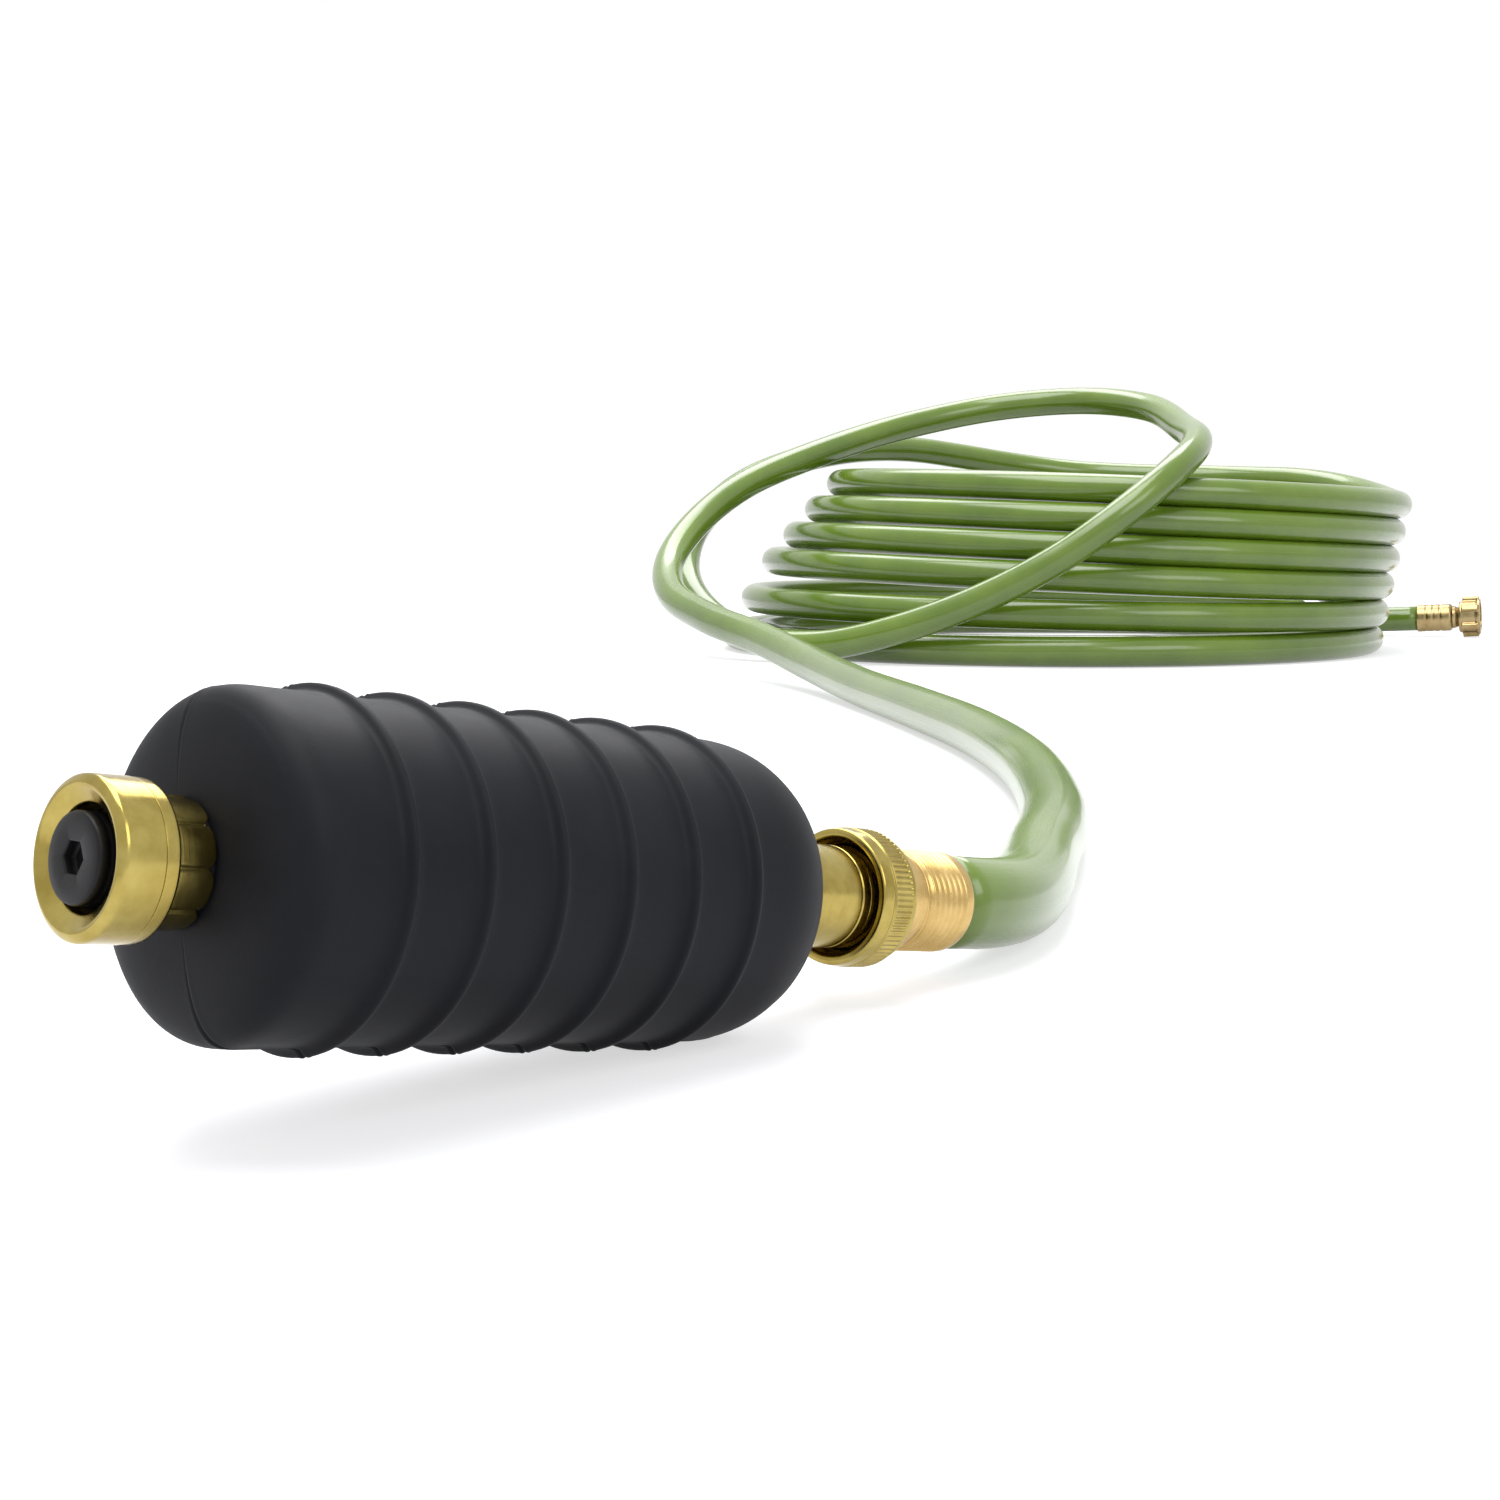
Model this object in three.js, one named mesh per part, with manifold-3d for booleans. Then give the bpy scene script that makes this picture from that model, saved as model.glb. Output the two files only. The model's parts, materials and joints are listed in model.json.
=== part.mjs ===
// Drain cleaning bladder with the garden hose that feeds it.
// Millimetres, +Z up. +X runs along the bladder from its nozzle to its hose coupling.
// The origin is on the floor, under the middle of the bladder and its fittings.
import * as THREE from 'three';
import { mergeVertices } from 'three/addons/utils/BufferGeometryUtils.js';
import Module from 'manifold-3d';

const wasm = await Module();
wasm.setup();

// Fits
const GAP = 0.3; // between pieces that touch
const TOOL_REACH = 1; // how far a cutting tool runs out past the face that it cuts
const SLIDE_GAP = 0.4; // round the valve's sliding stem

// Rubber bladder
const BODY_R = 34.1;
const RIB_COUNT = 6;
const RIB_PITCH = 18.6;
const RIB_HEIGHT = 1.9;
const RIB_HALF_WIDTH = 3.4;
const FRONT_STRAIGHT = 14.3; // from the first rib to the front dome
const FRONT_DOME = 12.2;
const FRONT_ROUNDNESS = 3.3;
const REAR_STRAIGHT = 11.2; // from the last rib to the rear dome
const REAR_DOME = 28.5;
const REAR_ROUNDNESS = 2.25;
const WALL = 4;
const NECK_LENGTH = 7.4;
const NECK_WALL = 2.8;
const BLADDER_TILT = THREE.MathUtils.degToRad(8.82); // the hose holds the rear end down

// Brass tubes that the necks sit on
const BORE_R = 6; // water way
const TUBE_WALL = 1.8;
const BARB_HEIGHT = 0.7;
const BARB_PITCH = 3.2;
const BARB_TAPER = 0.9; // share of the pitch over which a barb comes down to the tube
const TUBE_INSIDE = 12; // how far each tube reaches past its neck into the bladder

// Crimped ferrules
const FERRULE_WALL = 1.2;
const FERRULE_EDGE = 0.5;
const CRIMP_COUNT = 9;
const CRIMP_DEPTH = 0.45;
const CRIMP_WIDTH = 0.8;
const CRIMP_SETBACK = 1; // from the ferrule's front edge
const REAR_FERRULE_LENGTH = 26.3;

// Nozzle cap and valve
const CAP_R = 15.2;
const CAP_LENGTH = 12.1;
const CAP_LIP = 1.5;
const CAP_EDGE = 0.4;
const CAP_FACE = 0.7; // flat ring between the lip and the dish
const DISH_DEPTH = 2.1;
const CAP_BORE_R = 9.9;
const SPIGOT_R = 10.6;
const SPIGOT_LENGTH = 3.2;
const SEAT_THICKNESS = 1.1;
const SEAT_HOLE_R = 4.6;
const POPPET_R = 8.5;
const POPPET_PROUD = 0.4;
const POPPET_EDGE = 0.5;
const HEX_ACROSS_FLATS = 5.8;
const HEX_DEPTH = 2.6;
const STEM_R = 2.2;
const GUIDE_THICKNESS = 2.5;
const PORT_COUNT = 4;
const PORT_R = 1.2;
const PORT_SIDES = 12;
const SPRING_WIRE_R = 0.45;
const SPRING_WIRE_SIDES = 5;
const SPRING_POINTS_PER_TURN = 10;
const SPRING_R = 4;
const SPRING_TURNS = 5;
const SPRING_LENGTH = 12;
const STEM_NUT_R = 4.9;
const STEM_NUT_THICKNESS = 2.4;

// Rear coupling
const BEAD_R = 11.8;
const BEAD_LENGTH = 3;
const BEAD_ROUND = 0.9;
const NUT_R = 17;
const NUT_LENGTH = 14;
const NUT_CHAMFER = 0.8;
const NUT_RIM_WALL = 2.6;
const NUT_RECESS = 4;
const NUT_WEB = 1.5;
const NUT_SETBACK = 0.7; // the nut's open rim lies this far in front of the bead
const SHOULDER_LENGTH = 3.4;
const SHOULDER_STEP = 0.9;
const FLANGE_THICKNESS = 1.2;
const WASHER_THICKNESS = 1.6;
const THREAD_R = 12.8;
const THREAD_DEPTH = 0.9;
const THREAD_PITCH = 2.21;
const THREAD_TURNS = 6;
const THREAD_CLEARANCE = 0.35;
const COUPLING_LENGTH = 31.7;
const COUPLING_CHAMFER = 1;
const COUPLING_RIM = 2; // plain rim behind the threads
const COUPLING_RIM_DROP = 0.7;

// Hose
const HOSE_R = 12;
const HOSE_SIDES = 8;
const LEAD_STEPS = 74;
const HOSE_STRAIGHT = 8; // square out of the coupling
const TAIL_STEPS = 6;

// Round coil of hose
const COIL_CENTRE = [1368, 854];
const COIL_BOTTOM_R = 280; // middle of the lowest outer turn
const COIL_LAYERS = 6;
const COIL_LAYER_STEP_IN = 7;
const COIL_LAYER_RISE = 22.96;
const COIL_LEAN = 12; // how far each layer sits from the one below, towards COIL_LEAN_SIDE
const COIL_LEAN_SIDE = THREE.MathUtils.degToRad(-47.2);
const COIL_LIFT = 20; // how much higher the upper layers ride on the other side
const COIL_LIFT_LAYERS = 2; // the lift grows over this many layers

// Far coupling
const FAR_FERRULE_R = 13.2;
const FAR_FERRULE_LENGTH = 33;
const FAR_FERRULE_EDGE = 0.6;
const FAR_FERRULE_TAPER = [2, 1.6]; // length and drop of its nose
const FAR_STEM_LENGTH = 6;
const FAR_STEM_DROP = 2; // from the ferrule's radius to the stem's
const FAR_STEM_FOOT = 1.2; // its height above the tube where it meets the nut
const FAR_NUT_R = 17;
const FAR_NUT_LENGTH = 20;
const FAR_NUT_MOUTH = 15;
const FAR_NUT_FLARE = 1.6;
const FAR_NUT_RIM = [4, 2.5]; // where the flare begins and ends, from the mouth
const FAR_NUT_EDGE = [1, 0.8]; // length and drop of the chamfer at the back
const LUG_COUNT = 6;
const LUG_HEIGHT = 2.6;
const LUG_WIDTH = 5;
const LUG_ROOT = 0.8; // metal left between a lug's foot and the mouth
const LUG_SHORTER = 4; // than the nut
const LUG_FORWARD = 1; // of the nut's middle
const FAR_TILT = THREE.MathUtils.degToRad(3);

// Hose route from the near coupling to the top of the coil, in the part's own frame
const LEAD_ROUTE = [
  [142, 1, 16.6], [160, 6, 14.4], [182, 16, 12.7], [208, 31, 12.2], [250, 58, 12.2], [290, 83, 12.2],
  [339, 117, 12.2], [451, 209, 12.2], [559, 317, 12.2], [654, 430, 12.2], [749, 552, 13], [830, 665, 19],
  [879, 754, 30], [912, 840, 42], [946, 910, 57], [993, 959, 81], [1051, 985, 112], [1117, 994, 143],
  [1208, 994, 171], [1311, 978, 198], [1394, 932, 217], [1429, 863, 222], [1411, 780, 213],
  [1348, 703, 191], [1280, 647, 176], [1220, 627, 155.5], [1169, 638, 123], [1132, 674, 86],
  [1100, 725, 54], [1071, 786, 29], [1055, 850, 15], [1047, 912, 17], [1057, 976, 37],
  [1085, 1030, 65], [1122, 1062, 95], [1165, 1079, 122], [1212, 1083, 147], [1262, 1075, 165],
  [1312, 1062, 176], [1362, 1053, 181], [1415, 1046, 181], [1470, 1035, 176], [1524, 1014, 168.5],
  [1571, 981, 161.5], [1607, 938, 157.6],
];

// Hose route from the foot of the coil to the far coupling
const TAIL_ROUTE = [
  [1652.3, 956.8, 12.2], [1688, 918, 12.2], [1719, 866, 12.4], [1745, 797, 14],
  [1762, 740, 15.6], [1777, 702, 17.4],
];

// Materials, of which each piece takes its own copy
const MATERIALS = {
  rubber: new THREE.MeshStandardMaterial({ color: 0x2c2c32, roughness: 0.5, metalness: 0 }),
  brass: new THREE.MeshStandardMaterial({ color: 0xc9a94b, roughness: 0.25, metalness: 1 }),
  plastic: new THREE.MeshStandardMaterial({ color: 0x1c1c1e, roughness: 0.45, metalness: 0 }),
  steel: new THREE.MeshStandardMaterial({ color: 0xb9bcc0, roughness: 0.3, metalness: 1 }),
  washer: new THREE.MeshStandardMaterial({ color: 0x202022, roughness: 0.8, metalness: 0 }),
  hose: new THREE.MeshStandardMaterial({ color: 0x7aa23c, roughness: 0.35, metalness: 0 }),
};

const LARGE_SIDES = 32;
const SMALL_SIDES = 20;
const NUT_SIDES = 24;

// A closed geometry with shared vertices, faces outward.
function solid(geometry) {
  geometry.deleteAttribute('normal');
  geometry.deleteAttribute('uv');
  const merged = mergeVertices(geometry, 1e-4);
  const position = merged.getAttribute('position');
  const corners = merged.getIndex().array;
  const [a, b, c] = [new THREE.Vector3(), new THREE.Vector3(), new THREE.Vector3()];
  let volume = 0;
  for (let i = 0; i < corners.length; i += 3) {
    a.fromBufferAttribute(position, corners[i]);
    b.fromBufferAttribute(position, corners[i + 1]);
    c.fromBufferAttribute(position, corners[i + 2]);
    volume += a.dot(b.cross(c));
  }
  if (volume < 0) {
    for (let i = 0; i < corners.length; i += 3) {
      [corners[i + 1], corners[i + 2]] = [corners[i + 2], corners[i + 1]];
    }
  }
  return merged;
}

function toManifold(geometry) {
  const closed = solid(geometry.clone());
  const vertProperties = new Float32Array(closed.getAttribute('position').array);
  const triVerts = new Uint32Array(closed.getIndex().array);
  return new wasm.Manifold(new wasm.Mesh({ numProp: 3, vertProperties, triVerts }));
}

function fromManifold(manifold) {
  const mesh = manifold.getMesh();
  const geometry = new THREE.BufferGeometry();
  geometry.setAttribute('position', new THREE.BufferAttribute(new Float32Array(mesh.vertProperties), 3));
  geometry.setIndex(new THREE.BufferAttribute(new Uint32Array(mesh.triVerts), 1));
  return geometry;
}

function cut(geometry, tools) {
  let body = toManifold(geometry);
  for (const tool of tools) body = body.subtract(toManifold(tool));
  return fromManifold(body);
}

function join(geometry, others) {
  let body = toManifold(geometry);
  for (const other of others) body = body.add(toManifold(other));
  return fromManifold(body);
}

// Turned solid about the X axis. Each profile point is [x, radius], and the outline closes itself.
function turned(profile, sides = SMALL_SIDES) {
  const points = profile.map(([x, r]) => new THREE.Vector2(r, x));
  points.push(points[0].clone());
  return solid(new THREE.LatheGeometry(points, sides).rotateZ(-Math.PI / 2));
}

// Ring of plain rectangular section about the X axis.
function ring(x0, x1, innerR, outerR, sides = SMALL_SIDES) {
  return turned([[x0, innerR], [x1, innerR], [x1, outerR], [x0, outerR]], sides);
}

// Solid rod about the X axis, used as a tool or joined to a piece.
function rod(x0, x1, radius, sides = SMALL_SIDES) {
  const geometry = new THREE.CylinderGeometry(radius, radius, x1 - x0, sides);
  return geometry.rotateZ(-Math.PI / 2).translate((x0 + x1) / 2, 0, 0);
}

function piece(name, geometry, material) {
  const mesh = new THREE.Mesh(geometry, MATERIALS[material].clone());
  mesh.name = name;
  return mesh;
}

// Places along the bladder's own axis, from the first rib
const LAST_RIB = (RIB_COUNT - 1) * RIB_PITCH;
const FRONT_FACE = -FRONT_STRAIGHT - FRONT_DOME; // where the front dome meets its neck
const REAR_FACE = LAST_RIB + REAR_STRAIGHT + REAR_DOME;
const TUBE_R = BORE_R + TUBE_WALL;
const BARB_R = TUBE_R + BARB_HEIGHT;
const NECK_BORE_R = BARB_R + GAP;
const NECK_R = NECK_BORE_R + NECK_WALL - BARB_HEIGHT;
const NECK_FRONT = FRONT_FACE - NECK_LENGTH;
const NECK_REAR = REAR_FACE + REAR_FERRULE_LENGTH - FERRULE_WALL - 2 * GAP;
const FERRULE_BORE_R = NECK_R + GAP;
const FERRULE_R = FERRULE_BORE_R + FERRULE_WALL;

// Radius of a dome at the share t of its length, 0 at its foot and 1 at its pole.
function domeRadius(t, roundness) {
  return BODY_R * (1 - t ** roundness) ** (1 / roundness);
}

// Where along its length a dome has come down to a given radius.
function domeShare(radius, roundness) {
  return (1 - (radius / BODY_R) ** roundness) ** (1 / roundness);
}

const DOME_STEPS = 7;
const RIB_OUTLINE = [[-1, 0], [-0.3, 0.85], [0, 1], [0.3, 0.85], [1, 0]];

function domeOutline(foot, length, roundness, direction, shrink) {
  const outline = [];
  const endShare = domeShare(NECK_R, roundness);
  for (let i = 0; i <= DOME_STEPS; i++) {
    const t = endShare * Math.sin((i / DOME_STEPS) * Math.PI / 2);
    const x = foot + direction * t * (length - shrink);
    outline.push([x, domeRadius(t, roundness) - shrink]);
  }
  return outline;
}

function bladder() {
  const outer = [];
  outer.push([NECK_FRONT, NECK_R]);
  outer.push(...domeOutline(-FRONT_STRAIGHT, FRONT_DOME, FRONT_ROUNDNESS, -1, 0).reverse());
  for (let rib = 0; rib < RIB_COUNT; rib++) {
    for (const [along, up] of RIB_OUTLINE) {
      outer.push([rib * RIB_PITCH + along * RIB_HALF_WIDTH, BODY_R + up * RIB_HEIGHT]);
    }
  }
  outer.push(...domeOutline(LAST_RIB + REAR_STRAIGHT, REAR_DOME, REAR_ROUNDNESS, 1, 0));
  outer.push([NECK_REAR, NECK_R]);
  const inner = [[NECK_REAR, NECK_BORE_R], [REAR_FACE - WALL, NECK_BORE_R]];
  const rearInside = domeOutline(LAST_RIB + REAR_STRAIGHT, REAR_DOME, REAR_ROUNDNESS, 1, WALL);
  const frontInside = domeOutline(-FRONT_STRAIGHT, FRONT_DOME, FRONT_ROUNDNESS, -1, WALL);
  const clear = ([, r]) => r > NECK_BORE_R + GAP;
  inner.push(...rearInside.filter(clear).reverse(), ...frontInside.filter(clear));
  inner.push([FRONT_FACE + WALL, NECK_BORE_R], [NECK_FRONT, NECK_BORE_R]);
  return piece('bladder', turned([...outer, ...inner], LARGE_SIDES), 'rubber');
}

// Barbs of a tube that points along direction, from the neck's open end inwards.
function barbs(start, count, direction) {
  const outline = [];
  for (let i = 0; i < count; i++) {
    const x = start + direction * i * BARB_PITCH;
    outline.push([x, BARB_R], [x + direction * BARB_PITCH * BARB_TAPER, TUBE_R]);
  }
  return outline;
}

const BARB_COUNT = 3;
const FERRULE_FRONT = NECK_FRONT - GAP - FERRULE_WALL;
const SHOULDER_FRONT = FERRULE_FRONT - GAP;
const CAP_REAR = SHOULDER_FRONT - GAP;
const SPIGOT_FRONT = CAP_REAR - SPIGOT_LENGTH;
const CAP_FRONT = CAP_REAR - CAP_LENGTH;
const SEAT_REAR = SPIGOT_FRONT - GAP;
const SEAT_FRONT = SEAT_REAR - SEAT_THICKNESS;
const POPPET_REAR = SEAT_FRONT - GAP;
const POPPET_FRONT = CAP_FRONT - POPPET_PROUD;
const GUIDE_REAR = SPIGOT_FRONT + GUIDE_THICKNESS;
const SPRING_FRONT = GUIDE_REAR + GAP;
const SPRING_REAR = SPRING_FRONT + SPRING_LENGTH;
const STEM_NUT_FRONT = SPRING_REAR + GAP;
const STEM_NUT_REAR = STEM_NUT_FRONT + STEM_NUT_THICKNESS;

function nozzleBody() {
  const shell = turned([
    [SPIGOT_FRONT, SPIGOT_R], [SHOULDER_FRONT, SPIGOT_R], [SHOULDER_FRONT, TUBE_R],
    [NECK_FRONT, TUBE_R], ...barbs(NECK_FRONT + BARB_PITCH / 2, BARB_COUNT, 1),
    [FRONT_FACE + TUBE_INSIDE, TUBE_R], [FRONT_FACE + TUBE_INSIDE, BORE_R],
    [GUIDE_REAR, BORE_R], [GUIDE_REAR, STEM_R + SLIDE_GAP], [SPIGOT_FRONT, STEM_R + SLIDE_GAP],
  ]);
  const portCircle = (STEM_R + SLIDE_GAP + BORE_R) / 2;
  const ports = [];
  for (let i = 0; i < PORT_COUNT; i++) {
    const angle = (i + 0.5) * 2 * Math.PI / PORT_COUNT;
    const port = rod(SPIGOT_FRONT - TOOL_REACH, GUIDE_REAR + TOOL_REACH, PORT_R, PORT_SIDES);
    ports.push(port.translate(0, portCircle * Math.cos(angle), portCircle * Math.sin(angle)));
  }
  return piece('nozzle_body', cut(shell, ports), 'brass');
}

function frontFerrule() {
  const lipR = TUBE_R + GAP;
  const sleeve = turned([
    [FERRULE_FRONT, lipR], [FERRULE_FRONT, FERRULE_R - FERRULE_EDGE],
    [FERRULE_FRONT + FERRULE_EDGE, FERRULE_R], [FRONT_FACE - GAP, FERRULE_R], [FRONT_FACE - GAP, FERRULE_BORE_R],
    [NECK_FRONT - GAP, FERRULE_BORE_R], [NECK_FRONT - GAP, lipR],
  ], 3 * CRIMP_COUNT);
  const grooves = [];
  const length = NECK_LENGTH + FERRULE_WALL + TOOL_REACH;
  for (let i = 0; i < CRIMP_COUNT; i++) {
    const groove = new THREE.BoxGeometry(length, CRIMP_WIDTH, 2 * CRIMP_DEPTH);
    groove.translate(FERRULE_FRONT + CRIMP_SETBACK + length / 2, 0, FERRULE_R);
    grooves.push(groove.rotateX(((i + 0.5) * 2 * Math.PI) / CRIMP_COUNT));
  }
  return piece('front_ferrule', cut(sleeve, grooves), 'brass');
}

function nozzleCap() {
  const bodyHole = SPIGOT_R + GAP;
  return piece('nozzle_cap', turned([
    [CAP_REAR, bodyHole], [CAP_REAR, CAP_R - CAP_EDGE], [CAP_REAR - CAP_EDGE, CAP_R],
    [CAP_FRONT + CAP_LIP, CAP_R], [CAP_FRONT + CAP_EDGE, CAP_R - CAP_EDGE], [CAP_FRONT, CAP_R - CAP_LIP],
    [CAP_FRONT + GAP, CAP_R - CAP_LIP - CAP_FACE], [CAP_FRONT + DISH_DEPTH, CAP_BORE_R],
    [SEAT_REAR, CAP_BORE_R], [SEAT_REAR, bodyHole],
  ]), 'brass');
}

function valveSeat() {
  return piece('valve_seat', ring(SEAT_FRONT, SEAT_REAR, SEAT_HOLE_R, CAP_BORE_R - GAP), 'washer');
}

function valvePoppet() {
  const profile = new THREE.LatheGeometry([
    new THREE.Vector2(0, POPPET_FRONT), new THREE.Vector2(POPPET_R - POPPET_EDGE, POPPET_FRONT),
    new THREE.Vector2(POPPET_R, POPPET_FRONT + POPPET_EDGE), new THREE.Vector2(POPPET_R, POPPET_REAR),
    new THREE.Vector2(STEM_R, POPPET_REAR), new THREE.Vector2(STEM_R, STEM_NUT_REAR + GAP),
    new THREE.Vector2(0, STEM_NUT_REAR + GAP),
  ], SMALL_SIDES).rotateZ(-Math.PI / 2);
  const hexR = HEX_ACROSS_FLATS / Math.sqrt(3);
  const socket = rod(POPPET_FRONT - TOOL_REACH, POPPET_FRONT + HEX_DEPTH, hexR, 6);
  return piece('valve_poppet', cut(solid(profile), [socket]), 'plastic');
}

function valveSpring() {
  const points = [];
  const steps = SPRING_TURNS * SPRING_POINTS_PER_TURN;
  const travel = SPRING_LENGTH - 2 * SPRING_WIRE_R;
  for (let i = 0; i <= steps; i++) {
    const angle = (i / SPRING_POINTS_PER_TURN) * 2 * Math.PI;
    const x = SPRING_FRONT + SPRING_WIRE_R + travel * i / steps;
    points.push(new THREE.Vector3(x, SPRING_R * Math.cos(angle), SPRING_R * Math.sin(angle)));
  }
  const wire = tube(points, SPRING_WIRE_R, SPRING_WIRE_SIDES, steps);
  return piece('valve_spring', wire, 'steel');
}

function valveStemNut() {
  const nut = ring(STEM_NUT_FRONT, STEM_NUT_REAR, STEM_R + GAP, STEM_NUT_R, NUT_SIDES);
  return piece('valve_stem_nut', nut, 'brass');
}

// Places along the rear coupling
const BEAD_FRONT = NECK_REAR + GAP + FERRULE_WALL + GAP;
const BEAD_REAR = BEAD_FRONT + BEAD_LENGTH;
const NUT_FRONT = BEAD_FRONT - NUT_SETBACK;
const NUT_REAR = NUT_FRONT + NUT_LENGTH;
const WEB_FRONT = NUT_FRONT + NUT_RECESS;
const WEB_REAR = WEB_FRONT + NUT_WEB;
const FLANGE_FRONT = WEB_REAR + GAP;
const FLANGE_REAR = FLANGE_FRONT + FLANGE_THICKNESS;
const WASHER_FRONT = FLANGE_REAR + GAP;
const WASHER_REAR = WASHER_FRONT + WASHER_THICKNESS;
const COUPLING_FRONT = WASHER_REAR + GAP;
const COUPLING_REAR = COUPLING_FRONT + COUPLING_LENGTH;
const NUT_BORE_R = THREAD_R + THREAD_CLEARANCE;

function rearFerrule() {
  const lipR = TUBE_R + GAP;
  const back = NECK_REAR + GAP + FERRULE_WALL;
  return piece('rear_ferrule', turned([
    [REAR_FACE + GAP, FERRULE_BORE_R], [REAR_FACE + GAP, FERRULE_R], [back, FERRULE_R],
    [back, lipR], [NECK_REAR + GAP, lipR], [NECK_REAR + GAP, FERRULE_BORE_R],
  ]), 'brass');
}

function tailpiece() {
  return piece('tailpiece', turned([
    [REAR_FACE - TUBE_INSIDE, BORE_R], [REAR_FACE - TUBE_INSIDE, TUBE_R],
    ...barbs(NECK_REAR - BARB_PITCH / 2, BARB_COUNT, -1).reverse(), [BEAD_FRONT, TUBE_R],
    [BEAD_FRONT, BEAD_R - BEAD_ROUND], [BEAD_FRONT + BEAD_ROUND, BEAD_R],
    [BEAD_REAR - BEAD_ROUND, BEAD_R], [BEAD_REAR, BEAD_R - BEAD_ROUND], [BEAD_REAR, TUBE_R],
    [FLANGE_FRONT, TUBE_R], [FLANGE_FRONT, NUT_BORE_R - 2 * GAP], [FLANGE_REAR, NUT_BORE_R - 2 * GAP], [FLANGE_REAR, BORE_R],
  ]), 'brass');
}

function couplingNut() {
  const shoulder = NUT_R - SHOULDER_STEP;
  const rimR = NUT_R - NUT_RIM_WALL;
  return piece('coupling_nut', turned([
    [NUT_FRONT, rimR], [NUT_FRONT, NUT_R - NUT_CHAMFER], [NUT_FRONT + NUT_CHAMFER, NUT_R],
    [NUT_REAR - SHOULDER_LENGTH, NUT_R], [NUT_REAR - SHOULDER_LENGTH, shoulder],
    [NUT_REAR - NUT_CHAMFER, shoulder], [NUT_REAR, shoulder - NUT_CHAMFER], [NUT_REAR, NUT_BORE_R],
    [WEB_REAR, NUT_BORE_R], [WEB_REAR, TUBE_R + GAP], [WEB_FRONT, TUBE_R + GAP], [WEB_FRONT, rimR],
  ], LARGE_SIDES), 'brass');
}

function couplingWasher() {
  const washer = ring(WASHER_FRONT, WASHER_REAR, BORE_R, NUT_BORE_R - 2 * GAP);
  return piece('coupling_washer', washer, 'washer');
}

function hoseCoupling() {
  const outline = [[COUPLING_FRONT, BORE_R], [COUPLING_FRONT, THREAD_R - THREAD_DEPTH]];
  const threadStart = COUPLING_REAR - COUPLING_RIM - THREAD_TURNS * THREAD_PITCH;
  outline.push([COUPLING_FRONT + COUPLING_CHAMFER, THREAD_R], [threadStart - THREAD_PITCH, THREAD_R]);
  for (let i = 0; i < THREAD_TURNS; i++) {
    const x = threadStart + i * THREAD_PITCH;
    outline.push([x - THREAD_PITCH / 2, THREAD_R - THREAD_DEPTH], [x, THREAD_R]);
  }
  outline.push([COUPLING_REAR - COUPLING_CHAMFER, THREAD_R], [COUPLING_REAR, THREAD_R - COUPLING_RIM_DROP]);
  outline.push([COUPLING_REAR, BORE_R]);
  return piece('hose_coupling', turned(outline), 'brass');
}

// Round tube along points, closed at both ends.
function tube(points, radius, sides, steps) {
  const section = new THREE.Shape();
  for (let i = 0; i < sides; i++) {
    const angle = (i / sides) * 2 * Math.PI;
    const corner = [radius * Math.cos(angle), radius * Math.sin(angle)];
    if (i === 0) section.moveTo(...corner);
    else section.lineTo(...corner);
  }
  const path = new THREE.CatmullRomCurve3(points, false, 'centripetal');
  const shape = new THREE.ExtrudeGeometry(section, { steps, extrudePath: path, bevelEnabled: false });
  return solid(shape);
}

function route(list) {
  return list.map((point) => new THREE.Vector3(...point));
}

function hoseLead(exit, straightEnd) {
  const points = [exit, straightEnd, ...route(LEAD_ROUTE)];
  return piece('hose_lead', tube(points, HOSE_R, HOSE_SIDES, LEAD_STEPS), 'hose');
}

// Moves each layer of the coil off the one below and lifts the side that it leans away from.
function leaned(geometry) {
  const position = geometry.getAttribute('position');
  for (let i = 0; i < position.count; i++) {
    const [x, y, z] = [position.getX(i), position.getY(i), position.getZ(i)];
    const layer = Math.max(0, (z - HOSE_R) / COIL_LAYER_RISE);
    const away = Math.atan2(y, x) - COIL_LEAN_SIDE;
    const lift = COIL_LIFT * Math.min(1, layer / COIL_LIFT_LAYERS) * (1 - Math.cos(away)) / 2;
    const slide = COIL_LEAN * layer;
    position.setXYZ(i, x + slide * Math.cos(COIL_LEAN_SIDE), y + slide * Math.sin(COIL_LEAN_SIDE), z + lift);
  }
  return geometry;
}

// Outer shape of the coil: a turned ring round the strands' rounded edges, leaned as the layers lie.
function hoseCoil() {
  const topR = COIL_BOTTOM_R - (COIL_LAYERS - 1) * COIL_LAYER_STEP_IN;
  const topZ = HOSE_R + (COIL_LAYERS - 1) * COIL_LAYER_RISE;
  const innerR = COIL_BOTTOM_R - 2 * HOSE_R;
  const corner = HOSE_R * Math.SQRT1_2;
  const points = [
    [innerR, 0], [COIL_BOTTOM_R, 0], [COIL_BOTTOM_R + corner, HOSE_R - corner],
    [COIL_BOTTOM_R + HOSE_R, HOSE_R], [topR + HOSE_R, topZ], [topR + corner, topZ + corner],
    [topR, topZ + HOSE_R], [topR - corner, topZ + corner], [topR - HOSE_R, topZ],
    [innerR - HOSE_R, HOSE_R], [innerR - corner, HOSE_R - corner], [innerR, 0],
  ].map(([r, z]) => new THREE.Vector2(r, z));
  const shape = leaned(new THREE.LatheGeometry(points, LARGE_SIDES).rotateX(Math.PI / 2));
  const coil = piece('hose_coil', solid(shape), 'hose');
  coil.position.set(...COIL_CENTRE, 0);
  return coil;
}

function hoseTail() {
  return piece('hose_tail', tube(route(TAIL_ROUTE), HOSE_R, HOSE_SIDES, TAIL_STEPS), 'hose');
}

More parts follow.
